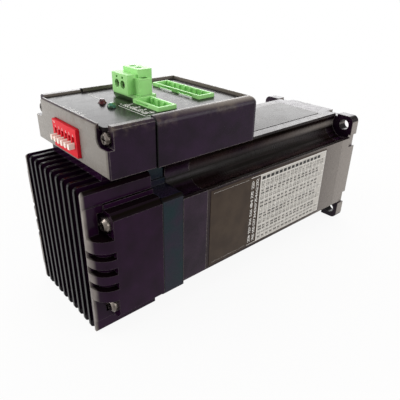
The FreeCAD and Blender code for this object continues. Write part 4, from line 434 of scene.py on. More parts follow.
# %% Dust and painted sheen under the rim
BOX_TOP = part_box("driver_box_body")[1][2]
DUST_AND_SHEEN_BAND = 4.7                                          # mm below the top of the box
near_top = add(tree, "MapRange",
               {"Value": axes.outputs["Z"], "From Min": BOX_TOP - DUST_AND_SHEEN_BAND * MM,
                "From Max": BOX_TOP - 0.4 * MM}, interpolation_type="SMOOTHSTEP")
band_noise = add(tree, "TexNoise",
              {"Vector": place, "Scale": 1 / (3.5 * MM), "Detail": 6.0, "Roughness": 0.7})
patches = add(tree, "MapRange", {"Value": band_noise, "From Min": 0.48, "From Max": 0.8})
dust_and_sheen_share = add(tree, "Math", {0: patches, 1: near_top}, operation="MULTIPLY")
# dust in patches, and partly a painted sheen of the rounded top edge
cover(tree, shader, dust_and_sheen_share, linear("#6b5f52"))

# %% Rim and inner walls
FADE_START, FADE_END = -122, -84                     # mm along x: the rim pales forwards
PANEL_MIDDLE = (-105.6 * MM, 0.0, 47.0 * MM)
face = add(tree, "NewGeometry")
turned = add(tree, "SeparateXYZ", {0: face.outputs["Normal"]})
level_share = add(tree, "MapRange",
                  {"Value": turned.outputs["Z"], "From Min": 0.5, "From Max": 0.9})
forwards = add(tree, "MapRange",
               {"Value": axes.outputs["X"], "From Min": FADE_START * MM,
                "From Max": FADE_END * MM, "To Min": 0.12, "To Max": 0.9},
               interpolation_type="SMOOTHSTEP")
level_rim = add(tree, "Math", {0: level_share, 1: forwards}, operation="MULTIPLY")
from_middle = add(tree, "VectorMath", {0: place, 1: PANEL_MIDDLE}, operation="SUBTRACT")
outward = add(tree, "VectorMath",
              {0: from_middle, 1: face.outputs["Normal"]}, operation="DOT_PRODUCT")
inner_wall = add(tree, "MapRange",
                 {"Value": outward, "From Min": -8 * MM, "From Max": -16 * MM, "To Max": 0.8})
painted_sheen = add(tree, "Math", {0: level_rim, 1: inner_wall}, operation="MAXIMUM")
rim_share = add(tree, "Math", {0: painted_sheen, 1: near_top}, operation="MULTIPLY")
# painted highlight on the rim and on the inner walls round the panel
cover(tree, shader, rim_share, linear("#857c74"))
dark_seam(tree, shader, place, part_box("driver_box_body")[0][0])
print("dust and a pale rim within", DUST_AND_SHEEN_BAND, "mm of z =", round(BOX_TOP / MM, 1), "mm")

# %% [markdown]
# ## Moulded plastics
#
# The switch, the plug and the headers are injection moulded. Their moulds are
# spark eroded, which leaves an even grain of a few hundredths of a millimetre.
# It is drawn ten times coarser to show. The colour is in the plastic, so it
# doesn't wear off, but thin rims are painted paler as a highlight.

# %% Plastics
def moulded(name, tint, pale, gloss, grain_mm=0.3, depth_mm=0.006, level=0.5, coat=0.0):
    """Plastic from tint to pale in 5 mm clouds, painted paler still on its edges as a
    highlight, with roughness around gloss and an eroded grain of grain_mm."""
    tree, shader, place = start(name, Specular_IOR_Level=level, Coat_Weight=coat,
                                Coat_Roughness=0.15)
    cloud = add(tree, "TexNoise", {"Vector": place, "Scale": 1 / (5 * MM), "Detail": 3.0})
    rounded, rim_highlight = rounded_edges(tree, 0.15, 0.75)
    share = add(tree, "Math",
                {0: cloud, 1: 0.6, 2: rim_highlight}, operation="MULTIPLY_ADD", use_clamp=True)
    coloured = add(tree, "Mix", {0: share, 6: linear(tint), 7: linear(pale)}, data_type="RGBA")
    rough = add(tree, "MapRange",
                {"Value": cloud, **NOISE_SPAN, "To Min": gloss - 0.06, "To Max": gloss + 0.08})
    grain = add(tree, "TexNoise",
                {"Vector": place, "Scale": 1 / (grain_mm * MM), "Detail": 2.0})
    bumps = add(tree, "Bump",
                {"Distance": depth_mm * MM, "Height": grain, "Normal": rounded})
    link_surface(tree, shader, coloured, rough, bumps)


# Glass-filled polyamide in terminal green: dull sheen.
moulded("terminal_green", "#93d97b", "#bbeea2", 0.42, level=0.25)
# Red thermoplastic of the switch: waxy, with a painted highlight on the rims.
moulded("switch_red", "#d00f20", "#e02436", 0.38, 0.25, level=0.12)
# Ivory levers of the switch, polished by fingers.
moulded("lever_ivory", "#f6e2d6", "#fdf2e8", 0.28, 0.2, 0.003)
# Black transistor packages: epoxy with glass filler.
moulded("component_plastic", "#17171a", "#2b2b2f", 0.5)
# White-grey end insulators of the windings, nylon.
moulded("insulator_plastic", "#cfcabb", "#e9e5d8", 0.45)
# Smoked disc of the encoder.
moulded("encoder_plastic", "#2a2d31", "#4a4f55", 0.2, 0.5, 0.001, 0.5, 0.3)
# Silicone pad: soft, dusty and blue-grey.
moulded("thermal_rubber", "#7d8f9c", "#9fb0ba", 0.7, 0.6, 0.02, 0.3)
print(len(LOOKS), "finishes made")

# %% [markdown]
# ## The glossy top panel
#
# The panel is a black polycarbonate plate, moulded against a polished tool.
# It is the glossiest thing here: it mirrors the studio and the green headers
# that stand on it. Fine wiping scratches and a film of dust keep the mirror
# from being perfect.

# %% Panel plastic
tree, shader, place = start("panel_plastic", Specular_IOR_Level=0.05)
dust = add(tree, "TexNoise",
           {"Vector": place, "Scale": 1 / (3 * MM), "Detail": 6.0, "Roughness": 0.65})
dusty = add(tree, "MapRange", {"Value": dust, "From Min": 0.4, "From Max": 0.75})
tone = add(tree, "Mix",
           {0: dusty, 6: linear("#120e10"), 7: linear("#272223")}, data_type="RGBA")
sheen = add(tree, "MapRange",
            {"Value": dust, **NOISE_SPAN, "To Min": 0.14, "To Max": 0.26})
wiped = add(tree, "Mapping",
            {"Vector": place, "Rotation": (0, 0, 0.5),
             "Scale": (1 / (14 * MM), 1 / (0.25 * MM), 1 / (1 * MM))})
scratches = add(tree, "TexNoise", {"Vector": wiped, "Scale": 1.0, "Detail": 2.0})
scratched = add(tree, "Bump", {"Strength": 0.5, "Distance": 0.002 * MM, "Height": scratches})
link_surface(tree, shader, tone, sheen, scratched)

# %% [markdown]
# ## Metals
#
# What sets one bare metal from another is its colour and the way its surface
# was cut. A tool leaves marks that are fine across the stroke and long along
# it. So one recipe takes the size of the marks along x, y and z, and stretches
# a noise to that shape. Every metal keeps the default IOR.

# %% Metals
def machined(name, tint, dark, gloss, marks_mm, depth_mm):
    """Bare metal from tint to dark, roughness between the two values of gloss, and marks
    whose sizes along x, y and z are given in mm."""
    tree, shader, place = start(name, Metallic=1.0)
    stretched = add(tree, "Mapping",
                    {"Vector": place, "Scale": tuple(1 / (size * MM) for size in marks_mm)})
    marks = add(tree, "TexNoise", {"Vector": stretched, "Scale": 1.0, "Detail": 3.0})
    stain = add(tree, "TexNoise", {"Vector": place, "Scale": 1 / (3 * MM), "Detail": 4.0})
    stained = add(tree, "MapRange", {"Value": stain, "From Min": 0.35, "From Max": 0.7})
    coloured = add(tree, "Mix",
                   {0: stained, 6: linear(tint), 7: linear(dark)}, data_type="RGBA")
    rough = add(tree, "MapRange",
                {"Value": marks, **NOISE_SPAN, "To Min": gloss[0], "To Max": gloss[1]})
    rounded = add(tree, "Bevel", {"Radius": 0.12 * MM}, samples=4)
    bumps = add(tree, "Bump",
                {"Distance": depth_mm * MM, "Height": marks, "Normal": rounded})
    link_surface(tree, shader, coloured, rough, bumps)


# Black zinc plating on screws: dark, with bright turned highlights.
machined("plated_steel", "#a0968e", "#3d3732", (0.2, 0.34), (0.5, 0.5, 0.5), 0.006)
# Ground shaft: rings a tenth of a millimetre apart, drawn at 0.25 mm.
machined("ground_steel", "#c9c7c3", "#a5a29d", (0.14, 0.26), (0.25, 8, 8), 0.002)
# Bearing races and balls: polished chromium steel.
machined("bearing_steel", "#d3d2cf", "#b1aeaa", (0.08, 0.16), (0.4, 6, 6), 0.001)
# Rotor cups: stamped silicon steel, blued by heat, with teeth along x.
machined("rotor_iron", "#6f6e70", "#4a4850", (0.35, 0.5), (0.5, 5, 5), 0.01)
# Sintered magnet: dull nickel grey with grains.
machined("magnet", "#8e8a84", "#6a6661", (0.45, 0.6), (0.8, 0.8, 0.8), 0.02)
# Spring washer: rolled and oil hardened, brownish.
machined("spring_steel", "#8c7f70", "#5d5348", (0.25, 0.4), (3, 0.4, 3), 0.004)
# Dipped tin on the pins: soft and slightly wavy.
machined("tinned_pins", "#cfcdc6", "#a9a69e", (0.2, 0.34), (1.2, 1.2, 1.2), 0.02)
print(len(LOOKS), "finishes made")

# %% [markdown]
# ## Windings and boards
#
# A coil is many turns of enamelled wire side by side, so it is drawn as bands
# of one wire's width, 0.6 mm, under a clear coat. A circuit board is glass
# epoxy under a green solder mask, and its copper tracks show through the mask
# as paler lanes that run square to each other.

# %% Coil wire
tree, shader, place = start("enamelled_copper", Metallic=1.0, Coat_Weight=0.7,
                            Coat_Roughness=0.12)
turns = add(tree, "TexWave",
            {"Vector": place, "Scale": WAVE / (0.6 * MM), "Distortion": 0.8, "Detail": 1.0},
            bands_direction="DIAGONAL")
enamel = add(tree, "Mix",
             {0: turns.outputs["Fac"], 6: linear("#5f2413"), 7: linear("#c8703f")},
             data_type="RGBA")
wound = add(tree, "Bump", {"Distance": 0.15 * MM, "Height": turns.outputs["Fac"]})
varnish = add(tree, "MapRange", {"Value": turns.outputs["Fac"], "To Min": 0.4, "To Max": 0.25})
link_surface(tree, shader, enamel, varnish, wound)

# %% Circuit board
tree, shader, place = start("circuit_board", Coat_Weight=0.3, Coat_Roughness=0.2)
lanes = add(tree, "TexVoronoi",
            {"Vector": place, "Scale": 1 / (2.4 * MM), "Randomness": 0.6},
            distance="CHEBYCHEV")
tracks = add(tree, "MapRange",
             {"Value": lanes.outputs["Distance"], "From Min": 0.42, "From Max": 0.46})
weave = add(tree, "TexNoise", {"Vector": place, "Scale": 1 / (0.4 * MM), "Detail": 2.0})
mask = add(tree, "Mix",
           {0: tracks, 6: linear("#0d3b22"), 7: linear("#2b6e3c")}, data_type="RGBA")
masked = add(tree, "Mix",
             {0: 0.4, 6: mask, 7: weave.outputs["Color"]}, data_type="RGBA",
             blend_type="OVERLAY")
laid = add(tree, "Bump", {"Distance": 0.035 * MM, "Height": tracks})
smooth = add(tree, "MapRange", {"Value": weave, "To Min": 0.3, "To Max": 0.5})
link_surface(tree, shader, masked, smooth, laid)

# %% [markdown]
# ## Lights on the panel
#
# Two small moulded lenses stand on the panel, one red and one green. The red
# one is cut in facets like a gem, so its normal is broken into flat patches.
# The green one is milky, with a paler middle where its diode sits.

# %% Lenses
for name, deep, bright, spread in (("red_lens", "#4a070b", "#a01820", 0.1),
                                   ("green_lens", "#4f7d5b", "#a8cfa8", 0.3)):
    low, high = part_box(name.replace("_lens", "_light"))
    middle = [(a + b) / 2 for a, b in zip(low, high)]
    tree, shader, place = start(name, Transmission_Weight=spread, Specular_IOR_Level=0.25,
                                IOR=1.49)
    centred = add(tree, "Mapping", {"Vector": place, "Location": [-v for v in middle]})
    facets = add(tree, "TexVoronoi", {"Vector": centred, "Scale": 1 / MM, "Randomness": 0.5})
    reach = add(tree, "VectorMath", {0: centred}, operation="LENGTH")
    glow = add(tree, "MapRange", {"Value": reach, "From Min": 2.2 * MM, "From Max": 0.5 * MM})
    tone = add(tree, "Mix", {0: glow, 6: linear(deep), 7: linear(bright)}, data_type="RGBA")
    # painted shading of the facets: each is made a little lighter or darker
    shade = add(tree, "Mix",
                {0: 0.5, 6: tone, 7: facets.outputs["Color"]}, data_type="RGBA",
                blend_type="OVERLAY")
    cut = add(tree, "Bump", {"Distance": 0.25 * MM, "Height": facets.outputs["Distance"]})
    clean = add(tree, "MapRange",
                {"Value": facets.outputs["Distance"], "To Min": 0.06, "To Max": 0.2})
    link_surface(tree, shader, shade, clean, cut)
print(len(LOOKS), "finishes made")

# %% [markdown]
# ## Films and inks
#
# The side label is a matt brown-black vinyl film, and the top label a
# smoother one. What is printed on the side label is ink: a grey table, dark
# numbers and white numbers. Screen ink is opaque, but its cover is never quite
# even, and it stands a hundredth of a millimetre above the film.

# %% Label films and inks
def coated(name, tint, pale, gloss, patch_mm, level):
    """A thin film or ink, from tint to pale in soft patches of patch_mm over a fine grit."""
    tree, shader, place = start(name, Specular_IOR_Level=level)
    laid = add(tree, "TexNoise",
               {"Vector": place, "Scale": 1 / (patch_mm * MM), "Detail": 5.0})
    evened = add(tree, "MapRange", {"Value": laid, **NOISE_SPAN})
    coloured = add(tree, "Mix",
                   {0: evened, 6: linear(tint), 7: linear(pale)}, data_type="RGBA")
    rough = add(tree, "MapRange",
                {"Value": laid, **NOISE_SPAN, "To Min": gloss[0], "To Max": gloss[1]})
    grit = add(tree, "TexNoise", {"Vector": place, "Scale": 1 / (0.35 * MM), "Detail": 2.0})
    bumps = add(tree, "Bump", {"Strength": 0.6, "Distance": 0.006 * MM, "Height": grit})
    link_surface(tree, shader, coloured, rough, bumps)


# Calendered vinyl of the side label: matt, brown-black, faintly cloudy.
coated("label_film", "#32261d", "#42362b", (0.3, 0.42), 6, 0.15)
# Cast vinyl of the top label: smoother, so it mirrors a little more.
coated("top_film", "#1a1413", "#2c2523", (0.2, 0.3), 8, 0.07)
# Screen-printed grey ink: chalky, with a cover that thins in spots.
coated("table_ink", "#b0aca5", "#c4c0b9", (0.5, 0.62), 3, 0.4)
# Black ink over the grey: a second pass, so it is a little denser.
coated("dark_ink", "#0a0808", "#191513", (0.5, 0.6), 2, 0.4)
# White ink: opaque and chalky.
coated("white_ink", "#d9d6d0", "#f0eeea", (0.5, 0.62), 2, 0.4)
print(len(LOOKS), "finishes made")

# %% [markdown]
# ## Materials for the CAD nodes
#
# Each CAD node keeps its mesh and its slots, and each slot gets the finish
# that the part's own record names for the node.

# %% Dress the CAD nodes
slot_of = {row["node"]: row["material_slot"] for row in frame["record"]["subparts"]}
for name, piece in nodes.items():
    for index in range(len(piece.data.materials)):
        piece.data.materials[index] = LOOKS[slot_of[name]]
print(len(nodes), "nodes dressed in", len(set(slot_of.values())), "finishes")

# %% [markdown]
# ## Heat sink with open screw recesses
#
# A tool can only reach the four corner screws because each recess is open at
# the side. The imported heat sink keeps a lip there, and its edges are sharp. So
# a copy of its mesh is merged, one boolean adds the recesses' inner walls, and
# a second takes four blocks out of the corners. A bevel then rounds every edge
# a little, which gives a painted casting its bright edge lines.

# %% Boxes and meshes
def blocks(rows):
    """Closed boxes from rows (x0, x1, y0, y1, z0, z1) in mm: corner k takes its x, y and z
    from bits 2, 1 and 0 of k."""
    spans = np.asarray(rows, dtype=float).reshape(-1, 3, 2) * MM
    bits = np.array([[k >> 2 & 1, k >> 1 & 1, k & 1] for k in range(8)])
    points = spans[:, np.arange(3), bits]
    sides = np.array([[0, 1, 3, 2], [4, 6, 7, 5], [0, 4, 5, 1],
                      [2, 3, 7, 6], [0, 2, 6, 4], [1, 5, 7, 3]])
    faces = (np.arange(len(spans))[:, None, None] * 8 + sides).reshape(-1, 4)
    return points.reshape(-1, 3), faces.tolist()


def mesh_object(name, points, faces):
    """A linked object from an array of points in metres and a list of faces."""
    mesh = bpy.data.meshes.new(name)
    mesh.from_pydata(points.tolist(), [], faces)
    return add_object(name, mesh)


def evaluated_mesh(thing):
    """The mesh of an object with its modifiers worked out."""
    bpy.context.view_layer.update()
    return bpy.data.meshes.new_from_object(
        thing.evaluated_get(bpy.context.evaluated_depsgraph_get()))


# %% Blocks at the four corners
REAR, SIDE = SINK_REAR / MM, -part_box("heat_sink")[0][1] / MM
RECESS_DEPTH, RECESS_SPAN = 6.8, (16.0, 23.5)       # mm along x, and along z from the middle
FILLED_DEPTH, FILLED_SPAN = 4.6, (11.9, 20.9)
WALL = 22.2                                         # mm from the middle to a recess's wall
BEYOND = 1                                          # mm that a cut starts outside the metal


def corner_blocks(name, x_span, y_span, z_span):
    """One block at each of the four corners, in mm. The y and z spans are distances from
    the middle, so they change sign with the side."""
    return mesh_object(name, *blocks([
        (*x_span, *sorted(side * y for y in y_span), *sorted(half * z for z in z_span))
        for side in (1, -1) for half in (1, -1)]))


cutter = corner_blocks("cutter", (REAR - BEYOND, REAR + RECESS_DEPTH),
                       (WALL, SIDE + BEYOND), RECESS_SPAN)
filler = corner_blocks("filler", (REAR, REAR + FILLED_DEPTH), (BAR_INSIDE, WALL), FILLED_SPAN)
print("recesses open for", RECESS_DEPTH, "mm from x =", round(REAR, 1), "mm")

# %% Merge a copy and open its recesses
copy = bmesh.new()
copy.from_mesh(nodes["heat_sink"].data)
bmesh.ops.remove_doubles(copy, verts=copy.verts, dist=0.002 * MM)
bmesh.ops.dissolve_limit(copy, angle_limit=math.radians(0.5), verts=copy.verts,
                         edges=copy.edges)
mesh = bpy.data.meshes.new("sink_casting")
copy.to_mesh(mesh)
copy.free()
casting = add_object("sink_casting", mesh)
for title, action, tool in (("walls", "UNION", filler), ("recesses", "DIFFERENCE", cutter)):
    step = casting.modifiers.new(title, "BOOLEAN")
    step.operation, step.object, step.solver = action, tool, "EXACT"
casting.data = evaluated_mesh(casting)
casting.modifiers.clear()
for tool in (cutter, filler):
    bpy.data.objects.remove(tool)

# %% Round its edges
rounding = casting.modifiers.new("edges", "BEVEL")
rounding.width, rounding.segments, rounding.limit_method = 0.28 * MM, 2, "ANGLE"
rounding.angle_limit = math.radians(35)
casting.data.shade_smooth()
casting.data.set_sharp_from_angle(angle=math.radians(75))
even = casting.modifiers.new("even shading", "WEIGHTED_NORMAL")
even.mode, even.weight, even.keep_sharp = "FACE_AREA", 100, True
casting.data = evaluated_mesh(casting)
casting.modifiers.clear()
casting.data.materials.clear()
casting.data.materials.append(LOOKS["heat_sink_paint"])
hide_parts("heat_sink")
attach(casting, "motor")
print("heat sink copy has", len(casting.data.polygons), "faces")

# %% [markdown]
# ## The red light's cut lens
#
# The red lens is moulded with flat facets, so that it shows from every side.
# It has a foot of six points and a wider ring of six at its girdle. A third
# ring is turned by half a step higher up, and a small flat table is on top.
# The triangles between the rings stay unsmoothed, which makes the facets.

# %% Cut lens
RINGS = ((0.9, 0.0, 0.0), (1.4, 0.4, 0.0), (1.0, 0.75, 0.5), (0.4, 1.0, 0.0))


def cut_lens(name, low, high, count=6):
    """A foot, a girdle, a shoulder and a table of count points each. Each row of RINGS gives
    a radius as a share of the half width, a height as a share of the whole, and a turn in
    steps. Point = middle + half width x radius x (cos, sin) of the turn."""
    low, high = np.array(low), np.array(high)
    middle, half = (low + high) / 2, (high - low) / 2
    rings = np.array(RINGS)
    turn = (np.arange(count) + rings[:, 2:]) * 2 * math.pi / count
    points = np.stack((middle[0] + half[0] * rings[:, :1] * np.cos(turn),
                       middle[1] + half[1] * rings[:, :1] * np.sin(turn),
                       (low[2] + (high[2] - low[2]) * rings[:, 1:2]).repeat(count, 1)), axis=-1)
    index = np.arange(4 * count).reshape(4, count)
    foot, girdle, shoulder, table = index
    foot_on, girdle_on, shoulder_on, table_on = np.roll(index, -1, axis=1)   # one step round
    faces = [foot[::-1].tolist(), table.tolist()]
    for sides in ((foot, foot_on, girdle_on, girdle), (girdle, girdle_on, shoulder),
                  (girdle_on, shoulder_on, shoulder), (shoulder, shoulder_on, table_on),
                  (shoulder, table_on, table)):
        faces += np.column_stack(sides).tolist()
    made = mesh_object(name, points.reshape(-1, 3), faces)
    made.data.materials.append(LOOKS["red_lens"])
    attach(made, "motor")
    return made


gem = cut_lens("red_cut_lens", *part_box("red_light"))
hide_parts("red_light")
print("cut lens has", len(gem.data.polygons), "faces")

# %% [markdown]
# ## Printed table on the side label
#
# The side of the motor carries a label with a large printed table. Here it is
# a plain table of numbers. Print is a thin sheet of ink, so each colour of it
# is one flat mesh, a hundredth of a millimetre above the film. A digit is
# turned from the built-in font into a few triangles once, and numpy copies
# and moves it to all its places.

# %% Digits as small meshes
INK = 0.01 * MM


def outline(sign):
    """One sign as flat points and triangles. The font's curves become a mesh, and the mesh's
    own triangles are read."""
    curve = bpy.data.curves.new("outline", "FONT")
    curve.body = sign
    curve.resolution_u = 1
    holder = add_object("outline", curve)
    mesh = evaluated_mesh(holder)
    mesh.calc_loop_triangles()
    points = np.empty(len(mesh.vertices) * 3)
    mesh.vertices.foreach_get("co", points)
    corners = np.empty(len(mesh.loop_triangles) * 3, dtype=np.int64)
    mesh.loop_triangles.foreach_get("vertices", corners)
    bpy.data.objects.remove(holder)
    bpy.data.meshes.remove(mesh)
    bpy.data.curves.remove(curve)
    return points.reshape(-1, 3)[:, :2], corners.reshape(-1, 3)


signs = {sign: outline(sign) for sign in "0123456789ON"}
zero_height = np.ptp(signs["0"][0][:, 1])        # every sign is divided by the zero's height
signs = {sign: ((points - points.min(axis=0)) / zero_height, corners)
         for sign, (points, corners) in signs.items()}
print("digit 8 has", len(signs["8"][1]), "triangles")


# %% Ways to lay print on a plane
def written(text, place, height, step=0.72, turned=False, bold=0.0):
    """Text or a number from a place (u, v) in mm: each sign is scaled to height and widened by
    the share bold, and the next stands step x height further. Turned text runs upwards:
    (u, v) becomes (-v, u)."""
    parts = []
    for index, sign in enumerate(str(text)):
        points, corners = signs[sign]
        flat = points * height * np.array([1 + bold, 1.0])
        flat[:, 0] += index * step * height
        if turned:
            flat = np.column_stack((-flat[:, 1], flat[:, 0]))
        parts.append((flat + np.array(place), corners))
    return parts


def bars(rows):
    """Rectangles (u0, v0, u1, v1) in mm as pairs of triangles."""
    rows = np.asarray(rows, dtype=float)
    points = rows[:, [0, 1, 2, 1, 2, 3, 0, 3]].reshape(-1, 2)
    first = np.arange(len(rows))[:, None] * 4
    corners = np.concatenate((first + [0, 1, 2], first + [0, 2, 3]))
    return [(points, corners)]


LABEL, PANEL, SWITCH = (   # origin, directions of u and v as seen from outside, and slot
    ((0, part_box("side_label")[0][1] - INK, 0), (1, 0, 0), (0, 0, 1), "label_film"),
    ((0, 0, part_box("top_panel")[1][2] + INK), (0, -1, 0), (1, 0, 0), "panel_plastic"),
    ((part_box("switch_body")[0][0] - INK, 0, 0), (0, -1, 0), (0, 0, 1), "switch_red"))


def print_sheet(name, parts, plane, look, lift=0):
    """One flat mesh of all parts: point = origin + u x U + v x V + lift x (U cross V)."""
    *axes, slot = plane
    origin, along, across = (np.array(row, dtype=float) for row in axes)
    sizes = np.cumsum([0] + [len(points) for points, _ in parts])
    flat = np.concatenate([points for points, _ in parts]) * MM
    corners = np.concatenate([corners + size for (_, corners), size in zip(parts, sizes)])
    points = (origin + flat[:, :1] * along + flat[:, 1:] * across
              + lift * INK * np.cross(along, across))
    sheet = mesh_object(name, points, corners.tolist())
    sheet.data.materials.append(LOOKS[look])
    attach(sheet, "motor")
    print(name, len(corners), "triangles")


# %% Table of the side label
draw = np.random.default_rng(57)
LEFT, RIGHT, HALF = -71.0, -25.3, 15.8                # mm: the grey field
PITCH, COUNT = 2.75, 16                               # mm between columns, and how many
TOP_ROW, BOTTOM_ROW, ROW_STEP = 12.2, -15.2, 1.3      # mm
BOLD_ROWS = (8.4, 7.1, 2.6, 0.9, -3.1, -4.5, -9.3, -10.6, -14.4)
BOLD_REACH = 0.95                                     # mm that a bold row keeps free
HEAD = (13.5, 14.9)                                   # mm along z: bars over the columns
columns = LEFT + 1.7 + PITCH * np.arange(COUNT)
filled = columns[:-1]                                 # the last column has only plain rows
print_sheet("label_field", bars([(LEFT, -HALF, RIGHT, HALF)]), LABEL, "table_ink")

plain_rows = [level for level in np.arange(TOP_ROW, BOTTOM_ROW, -ROW_STEP)
              if min(abs(level - bold) for bold in BOLD_ROWS) > BOLD_REACH]
dark = bars([(u - 1.0, HEAD[0], u + 1.0, HEAD[1]) for u in filled])
for level in BOLD_ROWS:                  # too small to read, so bars stand for bold numbers
    for u in filled:
        dark += bars([(u - 0.9, level - 0.3, u - 0.1, level + 0.35),
                      (u + 0.05, level - 0.3, u + draw.choice((0.4, 1.0)), level + 0.35)])
for level in plain_rows:
    for u in columns:
        dark += written(draw.integers(10, 99), (u - 1.15, level - 0.45), 0.95, 1.2, bold=0.8)
print_sheet("label_numbers", dark, LABEL, "dark_ink", 1)

# %% White lines and the turned numbers
EDGE = 0.25                                           # mm: the frame round the grey field
STRIP = -77.1                                         # mm: the rear end of the turned numbers
TURNED = ((-75.1, 7), (-72.5, 8))                     # mm along x, and how many numbers
BLANK = (-97.6, -78.2)                                # mm along x: the empty field
white = bars([
    (LEFT - EDGE, HALF, RIGHT + EDGE, HALF + EDGE),
    (LEFT - EDGE, -HALF - EDGE, RIGHT + EDGE, -HALF),
    (LEFT - EDGE, -HALF, LEFT, HALF),
    (RIGHT, -HALF, RIGHT + EDGE, HALF),
    (STRIP, -HALF - EDGE, LEFT - EDGE, -HALF - 0.05),
    (STRIP, HALF + 0.05, LEFT - EDGE, HALF + EDGE)])
for u, count in TURNED:
    for index in range(count):
        white += written(draw.integers(100, 999), (u, -14.9 + index * 30.0 / count), 1.5,
                         turned=True, bold=0.6)
white += bars([(BLANK[0], level, BLANK[1], level + 0.05) for level in (-15.6, 15.55)])
print_sheet("label_white", white, LABEL, "white_ink")

RULES = (13.1, 9.6, 5.9, 3.9, -0.6, -2.2, -5.8, -8.2, -11.7, -13.3)
rules = [(LEFT + 0.3, level - 0.11, RIGHT - 0.3, level + 0.11) for level in RULES]
rules += [(u + PITCH / 2 - 0.09, -HALF + 0.4, u + PITCH / 2 + 0.09, RULES[0]) for u in filled]
print_sheet("label_rules", bars(rules), LABEL, "white_ink", 2)

# %% [markdown]
# ## Numbers on the panel and the switch
#
# The panel is lettered beside every socket, so that a wire goes where it
# should. The levers of the switch are numbered from one to six and its upper
# side says ON. All of it is printed in white, except a grey block of numbers
# between the two headers.

# %% Panel print
# Places are (u, v) in mm: u runs to the right of the box and v forwards.
LEVERS, POLES = 6, 4
NUMBER_STEP = 3.9                   # mm between the numbers of two neighbouring poles
lever_ys = [sum(corner[1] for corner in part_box("switch_lever_%d" % number)) / 2 / MM
            for number in range(1, LEVERS + 1)]
marks = []
for number, y in enumerate(lever_ys, 1):                     # in front of the switch
    marks += written(number, (-y - 0.45, -136.6), 1.6, bold=0.3)
marks += bars([(-2.3, -120.6, -1.6, -119.9), (1.6, -119.4, 2.2, -118.8)])    # at the lights
for pole in range(POLES):                                    # behind the short header
    shift = pole * NUMBER_STEP
    marks += written(pole + 1, (4.0 + shift, -117.3), 1.7, bold=0.9)
    marks += written(draw.integers(100, 999), (2.9 + shift, -119.7), 1.6, bold=0.9)
    marks += bars([(3.2 + shift, -117.8, 5.9 + shift, -117.55)])
marks += bars([(3.0, -120.9, 19.8, -120.65), (19.55, -120.9, 19.8, -116.7),
               (-18.1, -121.4, -17.85, -120.0), (-18.1, -121.4, -9.5, -121.15)])
print_sheet("panel_marks", marks, PANEL, "white_ink")

# %% Grey numbers between the headers
LONG_POLES, LONG_STEP = 8, 3.5      # of the long header, mm
header_left = -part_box("long_header")[1][1] / MM
grey = []
for pole in range(LONG_POLES):
    grey += written(pole + 1, (header_left + 2.0 + pole * LONG_STEP, -95.4), 1.6)
for pole in range(POLES):
    shift = pole * NUMBER_STEP
    grey += written(pole + 1, (3.4 + shift, -101.6), 1.6)
    grey += bars([(3.4 + shift, -98.6, 5.2 + shift, -98.35)])
print_sheet("panel_numbers", grey, PANEL, "table_ink")

# %% Switch print
switch_left = -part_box("switch_body")[1][1] / MM
face_marks = []
for number, y in enumerate(lever_ys, 1):
    face_marks += written(number, (-y - 0.3, 40.5), 1.0)
face_marks += written("ON", (switch_left + 0.5, 41.9), 0.9)
print_sheet("switch_marks", face_marks, SWITCH, "white_ink")

# %% [markdown]
# ## Floor and backdrop
#
# The object stands on white paper that runs on into a white background. Real
# paper is never even, so what the camera sees is mostly its own glow at a
# strength of one, which is white. Near the object a share of real shading is
# left in, and it keeps the soft shadow.

# %% What the camera and mirrors see
def seen_rays(tree):
    """1 for camera, glossy and transmission rays, and 0 for those that carry light."""
    path = add(tree, "LightPath")
    seen = path.outputs["Is Camera Ray"]
    for ray in ("Is Glossy Ray", "Is Transmission Ray"):
        seen = add(tree, "Math",
                   {0: seen, 1: path.outputs[ray]}, operation="ADD", use_clamp=True)
    return seen


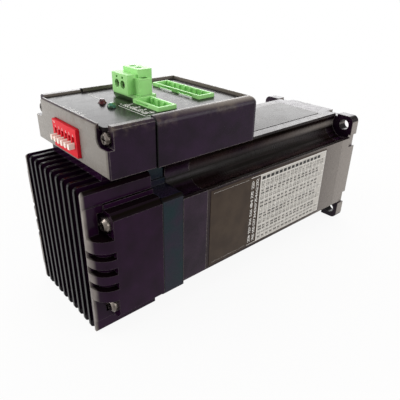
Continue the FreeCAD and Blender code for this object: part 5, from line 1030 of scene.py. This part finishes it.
# %% Floor
FLOOR_LEVEL = cad_box[0][2] - 0.05 * MM        # just clear of the object's own underside
HALF_FLOOR = 6.0                               # metres
NEAR, FAR = 0.12, 0.45                         # metres from the middle of the object
corners = np.array([(-1, -1), (1, -1), (1, 1), (-1, 1)]) * HALF_FLOOR
floor = mesh_object("floor", np.column_stack((corners, [FLOOR_LEVEL] * 4)), [(0, 1, 2, 3)])
tree, shader, place = start("white_paper", Roughness=0.9, Specular_IOR_Level=0.2,
                            Base_Color=linear("#eceae8"))
glow = add(tree, "Emission", {"Strength": 1.0})
centred = add(tree, "Mapping", {"Vector": place, "Location": (0.06, 0, -FLOOR_LEVEL)})
reach = add(tree, "VectorMath", {0: centred}, operation="LENGTH")
share = add(tree, "MapRange",
            {"Value": reach, "From Min": NEAR, "From Max": FAR, "To Min": 0.92})
glowing = add(tree, "Math", {0: seen_rays(tree), 1: share}, operation="MULTIPLY")
blend = add(tree, "MixShader", {0: glowing, 1: shader, 2: glow})
output = shader.outputs["BSDF"].links[0].to_node
tree.links.new(blend.outputs[0], output.inputs["Surface"])
floor.data.materials.append(LOOKS["white_paper"])
print("floor at z =", round(FLOOR_LEVEL / MM, 2), "mm")

# %% [markdown]
# ## Studio light
#
# Black gloss shows its lights more than its paint. A wide soft box stands low
# beyond the flange, so every face that looks up shines pale at this grazing
# angle. Another stands low on the right and brightens the near side towards
# the front. A third stands behind on the left, for the rear faces, and a weak
# one hangs above. The room itself fills in the rest.

# %% World
world = bpy.data.worlds.new("studio")
scene.world = world
world.use_nodes = True
tree = world.node_tree
tree.nodes.clear()
room = add(tree, "Background", {"Color": (1, 1, 1, 1), "Strength": 0.55})
backdrop = add(tree, "Background", {"Color": (1, 1, 1, 1), "Strength": 1.0})
blend = add(tree, "MixShader", {0: seen_rays(tree), 1: room, 2: backdrop})
add(tree, "OutputWorld", {"Surface": blend})


# %% Lamps
TARGET = Vector((-0.06, 0, 0.01))       # near the middle of the object


def lamp(name, place, width, height, radiance):
    """A soft box that faces the target: its power is radiance x pi x area."""
    data = bpy.data.lights.new(name, "AREA")
    data.shape = "RECTANGLE"
    data.size, data.size_y = width, height
    data.energy = radiance * math.pi * width * height
    made = add_object(name, data)
    made.visible_camera = False
    made.location = place
    made.rotation_euler = (TARGET - made.location).to_track_quat("-Z", "Y").to_euler()
    print(name, "gives", round(data.energy, 2), "W")


lamp("back_box", (0.85, 1.0, 0.45), 1.6, 0.8, 3.0)
lamp("top_box", (-0.1, 0.1, 1.4), 1.0, 1.0, 1.2)
lamp("left_box", (-1.1, 0.75, 0.35), 1.0, 0.7, 4.6)
lamp("front_box", (0.5, -1.0, 0.4), 0.9, 0.6, 3.2)
scene.view_settings.view_transform = "Standard"
